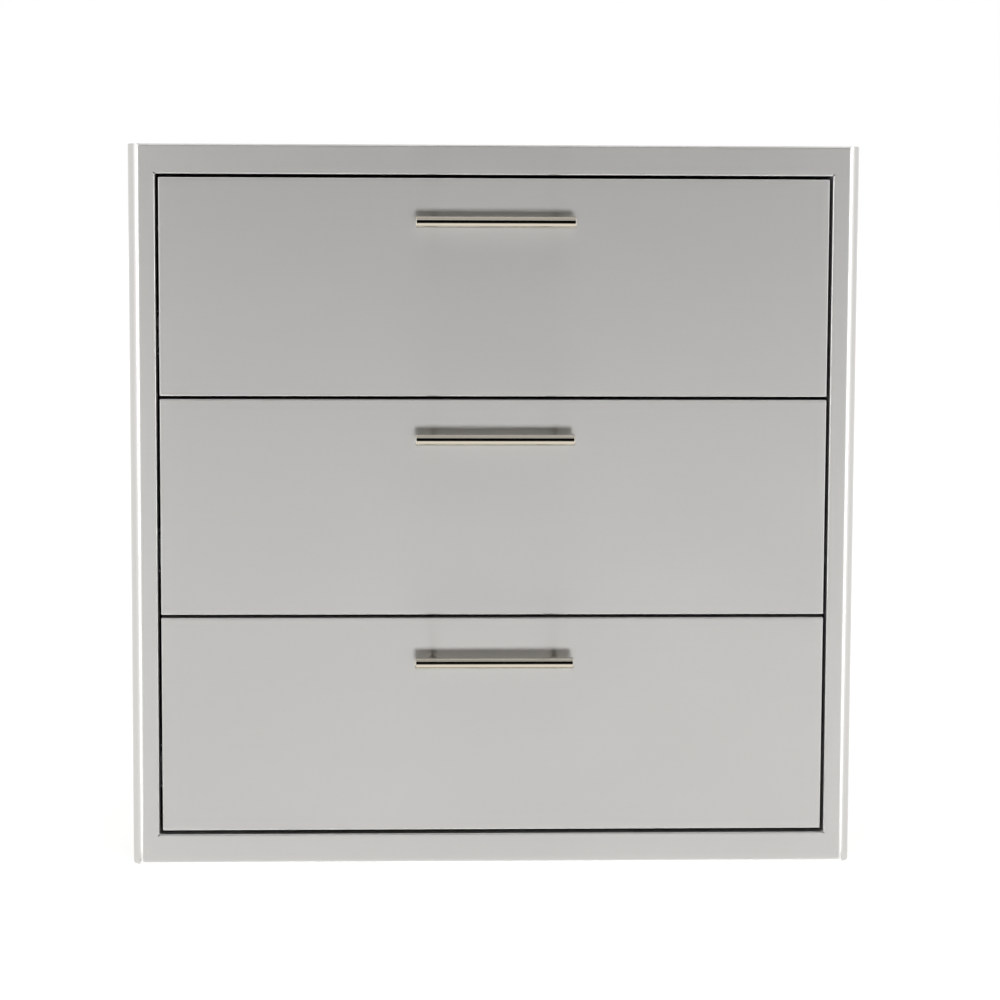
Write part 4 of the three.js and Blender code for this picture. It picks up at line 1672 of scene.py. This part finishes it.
@dataclass(frozen=True)
class Studio:
    """The camera of the photograph, a white room with soft lamps, and two cards for the steel to mirror."""

    lens: float = 110.79
    sensor: float = 36.0
    camera_place: tuple[float, float, float] = (-0.121109, -3.463772, 0.740825)
    camera_pitch: float = 6.26012574
    camera_yaw: float = -2.25807037
    near_clip: float = 0.05
    far_clip: float = 200.0
    floor_size: float = 60.0
    floor_colour: str = "#E8E7E4"
    floor_glow: float = 0.52
    room_level: float = 1.0
    ceiling_level: float = 0.2
    ceiling_start: float = 0.65
    card_distance: float = 2.35
    card_width: float = 2.36
    card_height: float = 2.8
    card_offset: float = 0.18
    card_gap: float = 2 * MM
    card_lift: float = 2 * MM
    standing_card_colour: str = "#0A0A0A"
    lying_card_colour: str = "#848381"
    # The wide boxes light all of the unit. The strips draw the bright line down each rolled edge, the lamps
    # of the front give it its slow rise in tone from top to bottom, and the warm ones show in the bars.
    lamps: tuple[SoftBox, ...] = (
        SoftBox("soft_box_left", -40, 20, 3.2, 1.95, 2.8, 0.45),
        SoftBox("soft_box_right", 47, 20, 3.2, 2.4, 2.8, 0.45),
        SoftBox("strip_left", -31, 20, 3.1, 0.28, 2.8, 13.5, Lit.EDGES),
        SoftBox("strip_right", 40, 20, 3.1, 0.22, 2.8, 14.0, Lit.EDGES),
        SoftBox("top_box", 0, 67, 2.4, 3.0, 1.1, 1.7, Lit.FRONT),
        SoftBox("ground_box", 0, -68, 2.0, 2.6, 0.8, 3.6, Lit.FRONT),
        SoftBox("low_strip", 8, -10.4, 12.0, 11.0, 1.9, 3.6, Lit.FRONT),
        SoftBox("bar_light", 0, -46.0, 2.6, 3.4, 2.8, 0.9, Lit.HANDLES, "#FFFAF2"),
        SoftBox("bar_top", 0, 86.0, 2.4, 3.4, 1.7, 0.35, Lit.HANDLES, "#FFFAF2"),
    )

    def camera(self) -> None:
        """Sets the camera where the photograph was taken from."""
        data = bpy.data.cameras.new("photo_camera")
        data.lens, data.sensor_width = self.lens, self.sensor
        data.clip_start, data.clip_end = self.near_clip, self.far_clip
        obj = new_object("photo_camera", data)
        look = Matrix.Rotation(radians(90 - self.camera_pitch), 4, "X")
        look = look @ Matrix.Rotation(radians(self.camera_yaw), 4, "Y")
        obj.matrix_world = Matrix.Translation(self.camera_place) @ look
        bpy.context.scene.camera = obj

    def seen(self, tree: NodeTree) -> Node:
        """Adds a value that is 1 for rays from the camera, off gloss or through glass, and else 0.

        Args:
            tree: The material's tree.

        Returns:
            The node that gives the value.
        """
        ray, either = add_node(tree, "ShaderNodeLightPath").outputs, {"operation": "MAXIMUM"}
        pair = add_node(tree, "ShaderNodeMath", either, {0: ray["Is Camera Ray"], 1: ray["Is Glossy Ray"]})
        return add_node(tree, "ShaderNodeMath", either, {0: pair, 1: ray["Is Transmission Ray"]})

    def world(self) -> None:
        """Makes a room that is plain white all round and a little dimmer at its ceiling."""
        world = bpy.data.worlds.new("white_room")
        world.use_nodes = True
        tree = world.node_tree
        way = add_node(tree, "ShaderNodeTexCoord")
        up = add_node(tree, "ShaderNodeSeparateXYZ", links={"Vector": way.outputs["Generated"]})
        spread = {"From Min": self.ceiling_start, "To Min": self.room_level, "To Max": self.ceiling_level}
        level = add_node(tree, "ShaderNodeMapRange", spread, {"Value": up.outputs["Z"]})
        tree.links.new(level.outputs["Result"], tree.nodes["Background"].inputs["Strength"])
        tree.nodes["Background"].inputs["Color"].default_value = (1.0, 1.0, 1.0, 1.0)
        world.cycles.sampling_method = "NONE"
        bpy.context.scene.world = world

    def sheet(self, name: str, corners: Sequence[Sequence[float]], colour: str) -> Object:
        """A flat matt sheet of the studio.

        Args:
            name: Its name.
            corners: Its corners in order.
            colour: Its colour.

        Returns:
            The sheet.
        """
        mesh = bpy.data.meshes.new(name)
        mesh.from_pydata(corners, [], [list(range(len(corners)))])
        obj = new_object(name, mesh)
        looks = {"Base Color": linear(colour), "Roughness": 1.0, "Specular IOR Level": 0.0}
        mesh.materials.append(new_material(name + "_paint", looks)[0])
        return obj

    def floor(self) -> Object:
        """Lays a pale floor that keeps the unit's shadow and looks white elsewhere.

        Returns:
            The floor.
        """
        half = self.floor_size / 2
        corners = [(-half, -half, 0), (half, -half, 0), (half, half, 0), (-half, half, 0)]
        obj = self.sheet("floor", corners, self.floor_colour)
        tree = obj.data.materials[0].node_tree
        shader = tree.nodes["Principled BSDF"]
        share = {"operation": "MULTIPLY", 1: self.floor_glow}
        glow = add_node(tree, "ShaderNodeMath", share, {0: self.seen(tree)})
        shader.inputs["Emission Color"].default_value = (1.0, 1.0, 1.0, 1.0)
        tree.links.new(glow.outputs[0], shader.inputs["Emission Strength"])
        return obj

    def cards(self) -> list[Object]:
        """Stands a dark card in front of the unit and lays a grey one up to it, which only gloss sees.

        Returns:
            Both cards.
        """
        y, near = cad_box[0][1] - self.card_distance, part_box("front_frame")[0].y - self.card_gap
        left, right = self.card_offset - self.card_width / 2, self.card_offset + self.card_width / 2
        lift, top = self.card_lift, self.card_height
        standing = [(left, y, 0), (right, y, 0), (right, y, top), (left, y, top)]
        foot_left, foot_right = (corner.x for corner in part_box("front_frame"))
        lying = [(left, y, lift), (right, y, lift), (foot_right, near, lift), (foot_left, near, lift)]
        cards = [
            self.sheet("standing_card", standing, self.standing_card_colour),
            self.sheet("lying_card", lying, self.lying_card_colour),
        ]
        for card in cards:
            card.visible_camera = card.visible_diffuse = card.visible_shadow = False
        return cards

    def build(self) -> None:
        """Builds the whole studio."""
        self.camera()
        self.world()
        middle = (Vector(cad_box[0]) + Vector(cad_box[1])) / 2
        passed = bpy.data.collections.new("lets_low_light_through")
        for obj in (self.floor(), *self.cards()):
            passed.objects.link(obj)
        for link in passed.collection_objects:
            link.light_linking.link_state = "EXCLUDE"
        for box in self.lamps:
            lamp = box.hang(middle)
            if box.rise < 0:
                lamp.light_linking.blocker_collection = passed

    def aim_lamps(self) -> None:
        """Lets the lamps of the front, of its rolled edges and of the handles light only those."""
        meshes = [obj for obj in bpy.data.objects if obj.type == "MESH"]
        front = [obj for obj in meshes if FRONT_STEEL.name in obj.data.materials]
        pieces = {
            Lit.FRONT: front,
            Lit.EDGES: [obj for obj in front if obj.name.startswith("frame")],
            Lit.HANDLES: [obj for obj in meshes if HANDLE_POLISH.name in obj.data.materials],
        }
        for lit, lighted in pieces.items():
            group = bpy.data.collections.new(lit.value)
            for obj in lighted:
                group.objects.link(obj)
            for box in self.lamps:
                if box.lit is lit:
                    bpy.data.objects[box.name].light_linking.receiver_collection = group


def main() -> None:
    """Builds the studio and the unit."""
    logging.basicConfig(level=logging.INFO, format="%(message)s")
    bpy.context.scene.view_settings.view_transform = "Standard"
    studio = Studio()
    studio.build()
    workshop = Workshop(Hardware(), FastenerTree(), PunchTree(), BallRowTree(), ChannelTree())
    FrontFrame().build()
    Cabinet(workshop).build()
    for drawer in DRAWERS:
        DrawerFront(workshop, drawer).build()
        Handle(workshop, drawer).build()
        Tray(workshop, drawer).build()
    Slide(workshop).build()
    strike_patterns()
    studio.aim_lamps()


if __name__ == "__main__":
    main()
